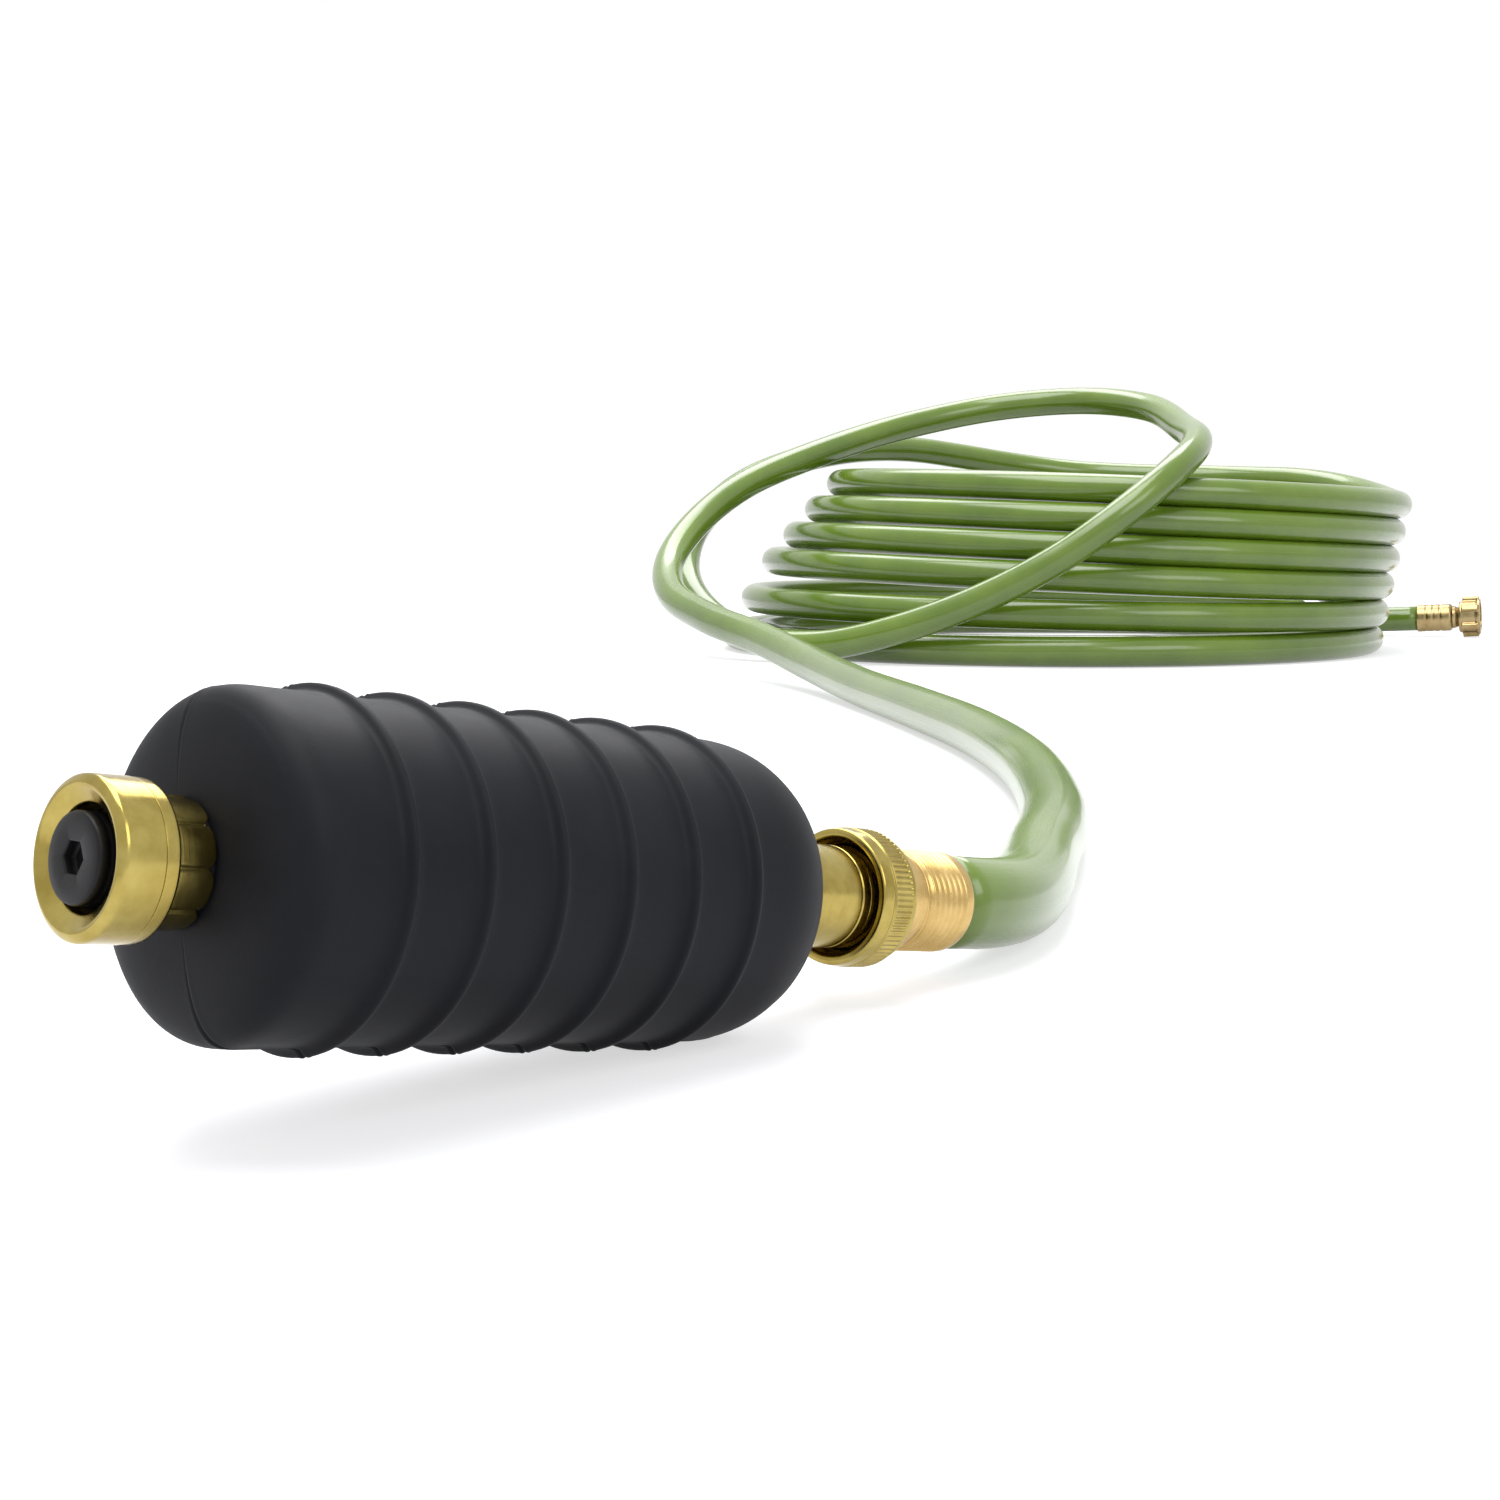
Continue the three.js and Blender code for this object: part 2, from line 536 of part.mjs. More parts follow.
// Places along the far coupling's own X axis, from the hose's end
const FAR_FERRULE_REAR = GAP + FAR_FERRULE_LENGTH;
const FAR_STEM_FRONT = FAR_FERRULE_REAR + GAP;
const FAR_NUT_REAR = FAR_STEM_FRONT + FAR_STEM_LENGTH;
const FAR_NUT_FRONT = FAR_NUT_REAR + FAR_NUT_LENGTH;
const MOUTH_FLOOR = FAR_NUT_FRONT - FAR_NUT_MOUTH;
const MOUTH_R = THREAD_R + THREAD_CLEARANCE;

function farFerrule() {
  const [noseLength, noseDrop] = FAR_FERRULE_TAPER;
  return piece('far_ferrule', turned([
    [GAP, BORE_R], [GAP, FAR_FERRULE_R - FAR_FERRULE_EDGE], [GAP + FAR_FERRULE_EDGE, FAR_FERRULE_R],
    [FAR_FERRULE_REAR - noseLength, FAR_FERRULE_R], [FAR_FERRULE_REAR, FAR_FERRULE_R - noseDrop],
    [FAR_FERRULE_REAR, BORE_R],
  ]), 'brass');
}

function farStem() {
  const [flangeBack, flangeFront] = [MOUTH_FLOOR + GAP, MOUTH_FLOOR + GAP + FLANGE_THICKNESS];
  return piece('far_stem', turned([
    [FAR_STEM_FRONT, BORE_R], [FAR_STEM_FRONT, FAR_FERRULE_R - FAR_STEM_DROP],
    [FAR_NUT_REAR - GAP, TUBE_R + FAR_STEM_FOOT], [FAR_NUT_REAR - GAP, TUBE_R], [flangeBack, TUBE_R],
    [flangeBack, MOUTH_R - 2 * GAP], [flangeFront, MOUTH_R - 2 * GAP], [flangeFront, BORE_R],
  ]), 'brass');
}

function farWasher() {
  const start = MOUTH_FLOOR + 2 * GAP + FLANGE_THICKNESS;
  return piece('far_washer', ring(start, start + WASHER_THICKNESS, BORE_R, MOUTH_R - 2 * GAP), 'washer');
}

function farSwivelNut() {
  const gripR = FAR_NUT_R - FAR_NUT_FLARE;
  const holeR = TUBE_R + 2 * GAP;
  const [flareStart, flareEnd] = FAR_NUT_RIM;
  const [edgeLength, edgeDrop] = FAR_NUT_EDGE;
  const shell = turned([
    [FAR_NUT_REAR, holeR], [FAR_NUT_REAR, gripR - edgeDrop], [FAR_NUT_REAR + edgeLength, gripR],
    [FAR_NUT_FRONT - flareStart, gripR], [FAR_NUT_FRONT - flareEnd, FAR_NUT_R], [FAR_NUT_FRONT, FAR_NUT_R],
    [FAR_NUT_FRONT, MOUTH_R], [MOUTH_FLOOR, MOUTH_R], [MOUTH_FLOOR, holeR],
  ], NUT_SIDES);
  const reach = FAR_NUT_R - MOUTH_R - LUG_ROOT + LUG_HEIGHT;
  const middle = (FAR_NUT_REAR + FAR_NUT_FRONT) / 2 + LUG_FORWARD;
  const lugs = [];
  for (let i = 0; i < LUG_COUNT; i++) {
    const lug = new THREE.BoxGeometry(FAR_NUT_LENGTH - LUG_SHORTER, LUG_WIDTH, reach);
    lug.translate(middle, 0, FAR_NUT_R + LUG_HEIGHT - reach / 2);
    lugs.push(lug.rotateX((i * 2 * Math.PI) / LUG_COUNT));
  }
  return piece('far_swivel_nut', join(shell, lugs), 'brass');
}

// Lays the far coupling against the hose's end, in line with its last stretch.
function placedFarCoupling() {
  const group = new THREE.Group();
  group.add(farFerrule(), farStem(), farWasher(), farSwivelNut());
  const end = new THREE.Vector3(...TAIL_ROUTE.at(-1));
  const before = new THREE.Vector3(...TAIL_ROUTE.at(-2));
  const heading = Math.atan2(end.y - before.y, end.x - before.x);
  group.rotation.set(0, -FAR_TILT, heading, 'ZYX');
  group.position.copy(end);
  return group;
}

// The bladder and its fittings along one axis, then laid on the floor
function bladderAssembly() {
  const axis = new THREE.Group();
  axis.add(bladder(), nozzleBody(), frontFerrule(), nozzleCap(), valveSeat(), valvePoppet());
  axis.add(valveSpring(), valveStemNut(), rearFerrule(), tailpiece(), couplingNut());
  axis.add(couplingWasher(), hoseCoupling());
  axis.rotation.y = BLADDER_TILT;
  const box = new THREE.Box3().setFromObject(axis, true);
  axis.position.set(-(box.min.x + box.max.x) / 2, 0, -box.min.z);
  axis.updateMatrixWorld(true);
  return axis;
}

const assembly = bladderAssembly();
const hoseStart = COUPLING_REAR + GAP;
const hoseExit = assembly.localToWorld(new THREE.Vector3(hoseStart, 0, 0));
const straightEnd = assembly.localToWorld(new THREE.Vector3(hoseStart + HOSE_STRAIGHT, 0, 0));

const object = new THREE.Group();
object.add(assembly, hoseLead(hoseExit, straightEnd), hoseCoil(), hoseTail());
object.add(placedFarCoupling());

export default object;
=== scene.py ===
"""Black rubber drain cleaning bladder with brass fittings, on a coiled green garden hose.

Lengths in the constants are millimetres, and MM turns them into the metres of the scene.
A turned piece is a profile of (along, radius) points carried round its axis.
"""
import json
import math

import bpy
import numpy as np
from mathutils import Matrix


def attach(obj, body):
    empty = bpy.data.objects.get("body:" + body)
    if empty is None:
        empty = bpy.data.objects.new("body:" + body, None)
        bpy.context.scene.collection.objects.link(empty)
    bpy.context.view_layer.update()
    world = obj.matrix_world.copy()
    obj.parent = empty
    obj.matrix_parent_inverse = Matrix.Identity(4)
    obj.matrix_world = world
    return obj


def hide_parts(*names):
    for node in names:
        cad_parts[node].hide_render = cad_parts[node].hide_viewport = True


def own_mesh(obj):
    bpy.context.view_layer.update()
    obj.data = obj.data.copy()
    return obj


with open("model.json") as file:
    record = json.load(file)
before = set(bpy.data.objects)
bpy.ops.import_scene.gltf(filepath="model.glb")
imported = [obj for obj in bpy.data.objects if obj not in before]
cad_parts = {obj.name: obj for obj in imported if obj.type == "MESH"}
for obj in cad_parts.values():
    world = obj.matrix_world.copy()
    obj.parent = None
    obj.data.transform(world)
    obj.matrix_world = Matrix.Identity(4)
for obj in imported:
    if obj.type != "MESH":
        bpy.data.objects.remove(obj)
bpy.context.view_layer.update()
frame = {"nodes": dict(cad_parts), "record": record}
MM = 0.001
TAU = 2 * math.pi

# Camera
CAMERA_PLACE = (-336.4, -360.6, 117.3)
CAMERA_YAW = 47.19  # degrees from +Y towards +X
CAMERA_DOWN = 5.78  # degrees below level
CAMERA_LENS = 55.40  # on a 36 mm wide sensor

# Floor, in metres: it keeps its shadows near the object and turns white between these distances from it
FLOOR_MIDDLE = (0.7, 0.4, 0.0)
FLOOR_REACH = 30.0
FLOOR_DROP = 0.0002
FADE = (1.7, 3.2)
NEAR_GLOW = 0.62
FLOOR_GREY = (0.52, 0.52, 0.55)
WORLD_LEVEL = 0.55

GAP = 0.3  # between pieces that touch

# Rubber bladder, along its own axis from the first rib
BODY_R = 34.1
RIB_COUNT = 6
RIB_PITCH = 18.6
RIB_HEIGHT = 1.9
RIB_HALF_WIDTH = 3.4
FRONT_STRAIGHT = 14.3
FRONT_DOME = 12.2
FRONT_ROUNDNESS = 3.3
REAR_STRAIGHT = 11.2
REAR_DOME = 28.5
REAR_ROUNDNESS = 2.25
WALL = 4.0
NECK_R = 10.9
NECK_BORE_R = 8.8
NECK_FRONT = -33.9
NECK_REAR = 157.2
REAR_FACE = (RIB_COUNT - 1) * RIB_PITCH + REAR_STRAIGHT + REAR_DOME
FRONT_FACE = -FRONT_STRAIGHT - FRONT_DOME
PARTING_ANGLE = -14.0  # degrees from straight up
PARTING_DEPTH = 0.5
PARTING_WIDTH = 0.42
PARTING_LIP = 0.16
SLACK = 0.18  # how far the moulded wall wanders from round

# Nozzle
FERRULE_FRONT = -35.4
FERRULE_REAR = -26.8
FERRULE_R = 12.4
FERRULE_BORE_R = 11.2
FERRULE_LIP_R = 8.1
CRIMP_COUNT = 9
CRIMP_WIDTH = 0.42
CRIMP_DEPTH = 0.45
NOTCH_LENGTH = 1.6
NOTCH_DEPTH = 1.1
CAP_REAR = -36.0
CAP_FRONT = -48.1
CAP_R = 15.2
CAP_BORE_R = 9.9
CAP_SPIGOT_R = 10.9
CAP_LINE = 3.1  # from the cap's rear face to the fine turned line round it
CAP_DISH = 2.1
SEAT_REAR = -39.5
POPPET_FRONT = -48.5
POPPET_REAR = -40.9
POPPET_LINE = -46.1  # fine turned line round the insert
POPPET_R = 8.5
HEX_ACROSS_FLATS = 5.8
HEX_DEPTH = 2.6
STEM_R = 2.2
STEM_REAR = -21.4
SPRING = (-36.4, -24.4)
SPRING_R = 4.0
SPRING_WIRE_R = 0.45
SPRING_TURNS = 5
SPRING_SIDES = 10
SPRING_POINTS = 180

# Rear coupling
REAR_LINE = 155.5  # fine turned line round the sleeve
REAR_SLEEVE_END = 158.7
BEAD_FRONT = 159.0
BEAD_REAR = 162.0
BEAD_R = 11.8
TUBE_R = 7.8
TUBE_INSIDE = 12.0  # how far the tube reaches into the bladder
NUT_FRONT = 158.3
NUT_REAR = 172.3
NUT_R = 17.0
NUT_RIM_R = 14.4
DISH_LIP = 1.2  # depth of the nut's rim before its dish slopes in to the bead
WEB_FRONT = 162.3
WEB_REAR = 163.8
FLANGE = (164.1, 165.3)
FLANGE_R = 12.4
NUT_BORE_R = 13.15
KNURL_COUNT = 76
KNURL_DEPTH = 0.35
KNURL_FRONT = 162.6
KNURL_REAR = 168.9
COUPLING_FRONT = 167.5
COUPLING_REAR = 199.2
THREAD_R = 12.8
THREAD_DEPTH = 0.95
THREAD_PITCH = 2.21
THREAD_FRONT = 181.5
THREAD_REAR = 196.6
WATERWAY_R = 6.0

# Hose
HOSE_R = 12.0
FLOOR_GAP = 0.2
HOSE_SIDES = 28
HOSE_STEP = 8.0
COIL_CENTRE = (1368.0, 854.0)
COIL_BOTTOM_R = 280.0
COIL_STEP_IN = 7.0
COIL_RISE = 22.96
COIL_LAYERS = 6
COIL_LEAN = 12.0  # how far each layer sits from the one below
COIL_LEAN_SIDE = math.radians(-47.2)
COIL_LIFT = 20.0  # how much higher the upper layers ride on the other side
COIL_LIFT_LAYERS = 2.0
COIL_WANDER = 2.4  # how far the turns wander from round
COIL_DRIFT = 0.4  # how far the wander turns from one layer to the next
COIL_START = 14.0  # degrees, where the coil's own points begin, after those of the lead
COIL_LEAVE = 42.8  # degrees, where the tail leaves the foot of the coil
STEP_DOWN_FROM = -2.0  # degrees, where each turn starts down to the next
STEP_DOWN_OVER = 60.0
STEP_IN_HURRY = 1.3  # the last turn steps in this much faster
STEP_OUT_FROM = 40.0
STEP_OUT_OVER = 40.0
INNER_BOTTOM_R = 256.0
POINTS_PER_TURN = 36
HOSE_STRAIGHT = 8.0
LEAD_ROUTE = [
    (142, 1, 16.6), (160, 6, 14.4), (182, 16, 12.7), (208, 31, 12.2), (250, 58, 12.2), (290, 83, 12.2),
    (339, 117, 12.2), (451, 209, 12.2), (559, 317, 12.2), (654, 430, 12.2), (749, 552, 13), (830, 665, 19),
    (879, 754, 30), (912, 840, 42), (946, 910, 57), (993, 959, 81), (1051, 985, 112), (1117, 994, 143),
    (1208, 994, 171), (1311, 978, 198), (1394, 932, 217), (1429, 863, 222), (1411, 780, 213),
    (1348, 703, 191), (1280, 647, 176), (1220, 627, 155.5), (1169, 638, 123), (1132, 674, 86),
    (1100, 725, 54), (1071, 786, 29), (1055, 850, 15), (1047, 912, 17), (1057, 976, 37),
    (1085, 1030, 65), (1122, 1062, 95), (1165, 1079, 122), (1212, 1083, 147), (1262, 1075, 165),
    (1312, 1062, 176), (1362, 1053, 181), (1415, 1046, 181), (1470, 1035, 176), (1524, 1014, 168.5),
    (1571, 981, 161.5), (1607, 938, 157.6),
]
TAIL_ROUTE = [
    (1652.3, 956.8, 12.2), (1688, 918, 12.2), (1719, 866, 12.4), (1745, 797, 14), (1762, 740, 15.6),
    (1777, 702, 17.4),
]

# Far coupling, along its own axis from the hose's end
FAR_FERRULE = (0.3, 33.3)
FAR_FERRULE_R = 13.2
FAR_STEM = (33.6, 39.3)
FAR_NUT = (39.6, 59.6)
FAR_NUT_R = 17.0
FAR_MOUTH_FLOOR = 44.6
FAR_HOLE_R = 8.4
FAR_RINGS = (9.0, 15.5, 22.0)
FAR_RING_WIDTH = 1.1
FAR_RING_DEPTH = 0.45
FAR_THREAD_DEPTH = 0.55
FAR_LUG_COUNT = 6
FAR_LUG_HEIGHT = 2.5
FAR_LUG_WIDTH = 5.4


class Axis:
    """A straight axis in space, with the directions up and side square to it."""

    def __init__(self, start, along):
        self.start = np.array(start, float)
        self.along = np.array(along, float) / np.linalg.norm(along)
        self.side = np.cross(self.along, (0.0, 0.0, 1.0))
        self.side /= np.linalg.norm(self.side)
        self.up = np.cross(self.side, self.along)

    def on_axis(self, along):
        """A point of the axis itself, in mm along it."""
        return self.turned(np.array(along), np.array(0.0), np.array(0.0))

    def turned(self, along, radius, angle):
        """Points at a distance along the axis, a radius from it and an angle from up, all in mm and radians."""
        along, radius, angle = np.broadcast_arrays(along, radius, angle)
        across = np.cos(angle)[..., None] * self.up + np.sin(angle)[..., None] * self.side
        return self.start + MM * (along[..., None] * self.along + radius[..., None] * across)


def joint(name):
    return next(j for j in frame["record"]["behaviour"]["joints"] if j["name"] == name)


def bladder_axis():
    """The valve slides along the bladder's axis, and its joint stands at the insert's front face."""
    slide = joint("valve_slide")
    along = -np.array(slide["axis"])
    return Axis(np.array(slide["pos_m"]) - MM * POPPET_FRONT * along, along)


def far_axis():
    """The far nut spins about the hose's last stretch."""
    spin = joint("far_nut_spin")
    return Axis(np.array(TAIL_ROUTE[-1]) * MM, spin["axis"])


BLADDER = bladder_axis()
FAR = far_axis()
BODY = "bladder_and_hose"


# Meshes

def grid_faces(rows, columns, wrap_rows, wrap_columns):
    """Corner numbers of the quads between neighbouring rows and columns, and their places on the grid."""
    i, j = np.meshgrid(np.arange(rows - (not wrap_rows)), np.arange(columns - (not wrap_columns)), indexing="ij")
    i, j = i.ravel(), j.ravel()
    right, down = (j + 1) % columns, (i + 1) % rows
    corners = np.stack([i * columns + j, i * columns + right, down * columns + right, down * columns + j], 1)
    places = np.stack([np.stack([i, i, i + 1, i + 1], 1), np.stack([j, j + 1, j + 1, j], 1)], 2)
    return corners, places


def volume(points, quads):
    """Signed volume: a sixth of the sum of the triple products of each triangle's corners."""
    total = 0.0
    for a, b, c in ((0, 1, 2), (0, 2, 3)):
        p, q, r = points[quads[:, a]], points[quads[:, b]], points[quads[:, c]]
        total += np.einsum("ij,ij->", p, np.cross(q, r)) / 6
    return total


def capped(flat, points):
    """The corner list with the middles of the first and last row added, and the fans about them."""
    rows, columns = points.shape[:2]
    ring = np.arange(columns)
    following = (ring + 1) % columns
    last = (rows - 1) * columns
    front, back = np.full(columns, len(flat)), np.full(columns, len(flat) + 1)
    fans = [np.stack([ring, front, front, following], 1), np.stack([last + following, back, back, last + ring], 1)]
    return np.vstack([flat, points[0].mean(0), points[-1].mean(0)]), fans


def surface(name, points, wrap_rows=True, wrap_columns=True, caps=False, uv=None):
    """Mesh of a rows by columns array of points, with quads between neighbours and faces outward.

    caps closes the first and last row with a fan about its middle.
    """
    rows, columns = points.shape[:2]
    quads, places = grid_faces(rows, columns, wrap_rows, wrap_columns)
    flat = points.reshape(-1, 3)
    centre = flat.mean(0)
    loops = [quads]
    where = uv if uv is not None else np.stack(np.meshgrid(
        np.arange(rows + 1) / rows, np.arange(columns + 1) / columns, indexing="ij"), 2)
    loop_uv = [where[places[..., 0], places[..., 1]]]
    if caps:
        flat, fans = capped(flat, points)
        loops += fans
        loop_uv += [np.zeros((columns, 4, 2)), np.ones((columns, 4, 2))]
    quads = np.vstack(loops)
    loop_uv = np.vstack(loop_uv)
    if volume(flat - centre, quads) < 0:
        quads = quads[:, ::-1]
        loop_uv = loop_uv[:, ::-1]
    mesh = bpy.data.meshes.new(name)
    triangle = quads[:, 1] == quads[:, 2]
    faces = [tuple(q) for q in quads[~triangle].tolist()]
    faces += [(a, b, d) for a, b, _, d in quads[triangle].tolist()]
    mesh.from_pydata(flat.tolist(), [], faces)
    layer = mesh.uv_layers.new(name="surface")
    tri_uv = loop_uv[triangle][:, [0, 1, 3]]
    values = np.concatenate([loop_uv[~triangle].reshape(-1, 2), tri_uv.reshape(-1, 2)])
    layer.data.foreach_set("uv", values.ravel().astype(np.float32))
    mesh.polygons.foreach_set("use_smooth", np.ones(len(mesh.polygons), bool))
    mesh.update()
    piece = bpy.data.objects.new(name, mesh)
    bpy.context.scene.collection.objects.link(piece)
    return piece


def rounded(corners, radius=0.3, steps=3):
    """Closed outline with each corner turned in an arc: points of a quadratic curve between the two sides."""
    corners = np.array([c[:2] for c in corners], float)
    radii = [radius] * len(corners) if np.isscalar(radius) else radius
    outline = []
    for k, corner in enumerate(corners):
        before, after = corners[k - 1], corners[(k + 1) % len(corners)]
        to_before, to_after = before - corner, after - corner
        cut = min(radii[k], 0.45 * np.linalg.norm(to_before), 0.45 * np.linalg.norm(to_after))
        start = corner + to_before / np.linalg.norm(to_before) * cut
        end = corner + to_after / np.linalg.norm(to_after) * cut
        for t in np.linspace(0, 1, steps + 1):
            outline.append((1 - t) ** 2 * start + 2 * t * (1 - t) * corner + t ** 2 * end)
    return np.array(outline)


def refined(outline, step):
    """The closed outline with points added so that none lie further apart than step."""
    fine = []
    for a, b in zip(outline, np.roll(outline, -1, 0)):
        count = max(1, int(math.ceil(np.linalg.norm(b - a) / step)))
        fine.extend(a + (b - a) * t for t in np.arange(count) / count)
    return np.array(fine)


def turned(name, axis, outline, angles, shape=None):
    """A closed outline carried round the axis. shape may change the radius from (along, radius, angle)."""
    outline = np.array(outline, float)
    along, radius = outline[:, :1], outline[:, 1:]
    angle = np.asarray(angles)[None, :]
    along, radius, angle = np.broadcast_arrays(along, radius, angle)
    if shape is not None:
        along, radius = shape(along, radius, angle)
    lengths = np.linalg.norm(np.diff(np.vstack([outline, outline[:1]]), axis=0), axis=1)
    distance = np.concatenate([[0], np.cumsum(lengths)]) * MM
    share = np.append(np.asarray(angles), TAU) / TAU
    uv = np.stack(np.meshgrid(distance, share, indexing="ij"), 2)
    return surface(name, axis.turned(along, radius, angle), uv=uv)


def round_angles(count):
    return np.arange(count) * TAU / count


# Materials

def node_group(name, inputs, outputs):
    group = bpy.data.node_groups.new(name, "ShaderNodeTree")
    for label, kind, value in inputs:
        socket = group.interface.new_socket(label, in_out="INPUT", socket_type=kind)
        if value is not None:
            socket.default_value = value
    for label, kind in outputs:
        group.interface.new_socket(label, in_out="OUTPUT", socket_type=kind)
    return group, group.nodes.new("NodeGroupInput"), group.nodes.new("NodeGroupOutput")


def add_node(tree, kind, values=(), **settings):
    """A node with settings as attributes, and values as (socket, number or link source) pairs."""
    node = tree.nodes.new(kind)
    for key, value in settings.items():
        setattr(node, key, value)
    for key, value in values:
        if isinstance(value, bpy.types.NodeSocket):
            tree.links.new(value, node.inputs[key])
        else:
            node.inputs[key].default_value = value
    return node


def mottle_group():
    """Soft blotches and fine grain of a moulded or handled surface, as masks from 0 to 1."""
    group, inputs, outputs = node_group(
        "handled_surface",
        [("Vector", "NodeSocketVector", None), ("Blotch Scale", "NodeSocketFloat", 40.0),
         ("Grain Scale", "NodeSocketFloat", 900.0)],
        [("Blotch", "NodeSocketFloat"), ("Grain", "NodeSocketFloat")])
    blotch = add_node(group, "ShaderNodeTexNoise", [
        ("Vector", inputs.outputs["Vector"]), ("Scale", inputs.outputs["Blotch Scale"]),
        ("Detail", 4.0), ("Roughness", 0.6)])
    grain = add_node(group, "ShaderNodeTexNoise", [
        ("Vector", inputs.outputs["Vector"]), ("Scale", inputs.outputs["Grain Scale"]), ("Detail", 2.0)])
    spread = add_node(group, "ShaderNodeMapRange", [
        ("Value", blotch.outputs["Fac"]), ("From Min", 0.35), ("From Max", 0.65)])
    group.links.new(spread.outputs["Result"], outputs.inputs["Blotch"])
    group.links.new(grain.outputs["Fac"], outputs.inputs["Grain"])
    return group


def turning_group():
    """Fine rings left by a lathe: noise that runs only along the profile, plus faint scratches round it."""
    group, inputs, outputs = node_group(
        "lathe_marks",
        [("Vector", "NodeSocketVector", None), ("Rings per Metre", "NodeSocketFloat", 4000.0)],
        [("Height", "NodeSocketFloat")])
    parts = add_node(group, "ShaderNodeSeparateXYZ", [("Vector", inputs.outputs["Vector"])])
    along = add_node(group, "ShaderNodeMath", [
        (0, parts.outputs["X"]), (1, inputs.outputs["Rings per Metre"])], operation="MULTIPLY")
    around = add_node(group, "ShaderNodeMath", [(0, parts.outputs["Y"]), (1, 3.0)], operation="MULTIPLY")
    joined = add_node(group, "ShaderNodeCombineXYZ", [("X", along.outputs[0]), ("Y", around.outputs[0])])
    rings = add_node(group, "ShaderNodeTexNoise", [
        ("Vector", joined.outputs["Vector"]), ("Scale", 1.0), ("Detail", 2.0)])
    group.links.new(rings.outputs["Fac"], outputs.inputs["Height"])
    return group


HANDLED = mottle_group()
LATHE = turning_group()


def new_material(name, metallic=0.0, roughness=0.4, coat=0.0):
    material = bpy.data.materials.new(name)
    material.use_nodes = True
    shader = material.node_tree.nodes["Principled BSDF"]
    shader.inputs["Metallic"].default_value = metallic
    shader.inputs["Roughness"].default_value = roughness
    shader.inputs["Coat Weight"].default_value = coat
    return material, material.node_tree, shader


def use_group(tree, group, vector, values=()):
    node = tree.nodes.new("ShaderNodeGroup")
    node.node_tree = group
    tree.links.new(vector, node.inputs["Vector"])
    for key, value in values:
        node.inputs[key].default_value = value
    return node


def tint(tree, shader, factor, dark, light):
    mix = add_node(tree, "ShaderNodeMix", data_type="RGBA")
    tree.links.new(factor, mix.inputs["Factor"])
    mix.inputs["A"].default_value = (*dark, 1)
    mix.inputs["B"].default_value = (*light, 1)
    tree.links.new(mix.outputs["Result"], shader.inputs["Base Color"])
    return mix


def vary_roughness(tree, shader, factor, low, high):
    span = add_node(tree, "ShaderNodeMapRange", [("Value", factor), ("To Min", low), ("To Max", high)])
    tree.links.new(span.outputs["Result"], shader.inputs["Roughness"])


def raise_bump(tree, shader, height, strength, distance):
    bump = add_node(tree, "ShaderNodeBump", [("Height", height), ("Strength", strength), ("Distance", distance)])
    tree.links.new(bump.outputs["Normal"], shader.inputs["Normal"])


def plain_material(name, dark, light, rough, blotch, grain, bump, metallic=0.0, specular=0.5):
    """A moulded or cast surface: two close tints in soft blotches, with a fine grain in its bump."""
    material, tree, shader = new_material(name, metallic, rough[0])
    shader.inputs["Specular IOR Level"].default_value = specular
    place = tree.nodes.new("ShaderNodeTexCoord").outputs["Object"]
    skin = use_group(tree, HANDLED, place, [("Blotch Scale", blotch), ("Grain Scale", grain)])
    tint(tree, shader, skin.outputs["Blotch"], dark, light)
    vary_roughness(tree, shader, skin.outputs["Blotch"], *rough)
    raise_bump(tree, shader, skin.outputs["Grain"], bump, 0.0002)
    return material


def brass_material(name, dark, light, rough, rings=4000.0, marks=0.12):
    """Turned brass: lathe rings in its bump, and a thin uneven tarnish in colour and gloss."""
    material, tree, shader = new_material(name, 1.0, rough[0])
    place = tree.nodes.new("ShaderNodeTexCoord").outputs["Object"]
    chart = tree.nodes.new("ShaderNodeUVMap")
    chart.uv_map = "surface"
    skin = use_group(tree, HANDLED, place, [("Blotch Scale", 120.0), ("Grain Scale", 1600.0)])
    lathe = use_group(tree, LATHE, chart.outputs["UV"], [("Rings per Metre", rings)])
    tint(tree, shader, skin.outputs["Blotch"], dark, light)
    vary_roughness(tree, shader, skin.outputs["Blotch"], *rough)
    raise_bump(tree, shader, lathe.outputs["Height"], marks, 0.0001)
    return material


def hose_material():
    """Smooth extruded green hose: faint lengthwise draw lines and slow changes of tint along it."""
    material, tree, shader = new_material("green_hose", 0.0, 0.24, 0.45)
    shader.inputs["Coat Roughness"].default_value = 0.1
    place = tree.nodes.new("ShaderNodeTexCoord").outputs["Object"]
    chart = tree.nodes.new("ShaderNodeUVMap")
    chart.uv_map = "surface"
    skin = use_group(tree, HANDLED, place, [("Blotch Scale", 14.0), ("Grain Scale", 700.0)])
    lines = add_node(tree, "ShaderNodeMapping", [("Vector", chart.outputs["UV"]), ("Scale", (3.0, 60.0, 1.0))])
    draw = add_node(tree, "ShaderNodeTexNoise", [("Vector", lines.outputs["Vector"]), ("Scale", 1.0),
                                                ("Detail", 3.0)])
    tint(tree, shader, skin.outputs["Blotch"], (0.092, 0.165, 0.008), (0.13, 0.215, 0.014))
    vary_roughness(tree, shader, draw.outputs["Fac"], 0.2, 0.32)
    raise_bump(tree, shader, draw.outputs["Fac"], 0.12, 0.0003)
    return material


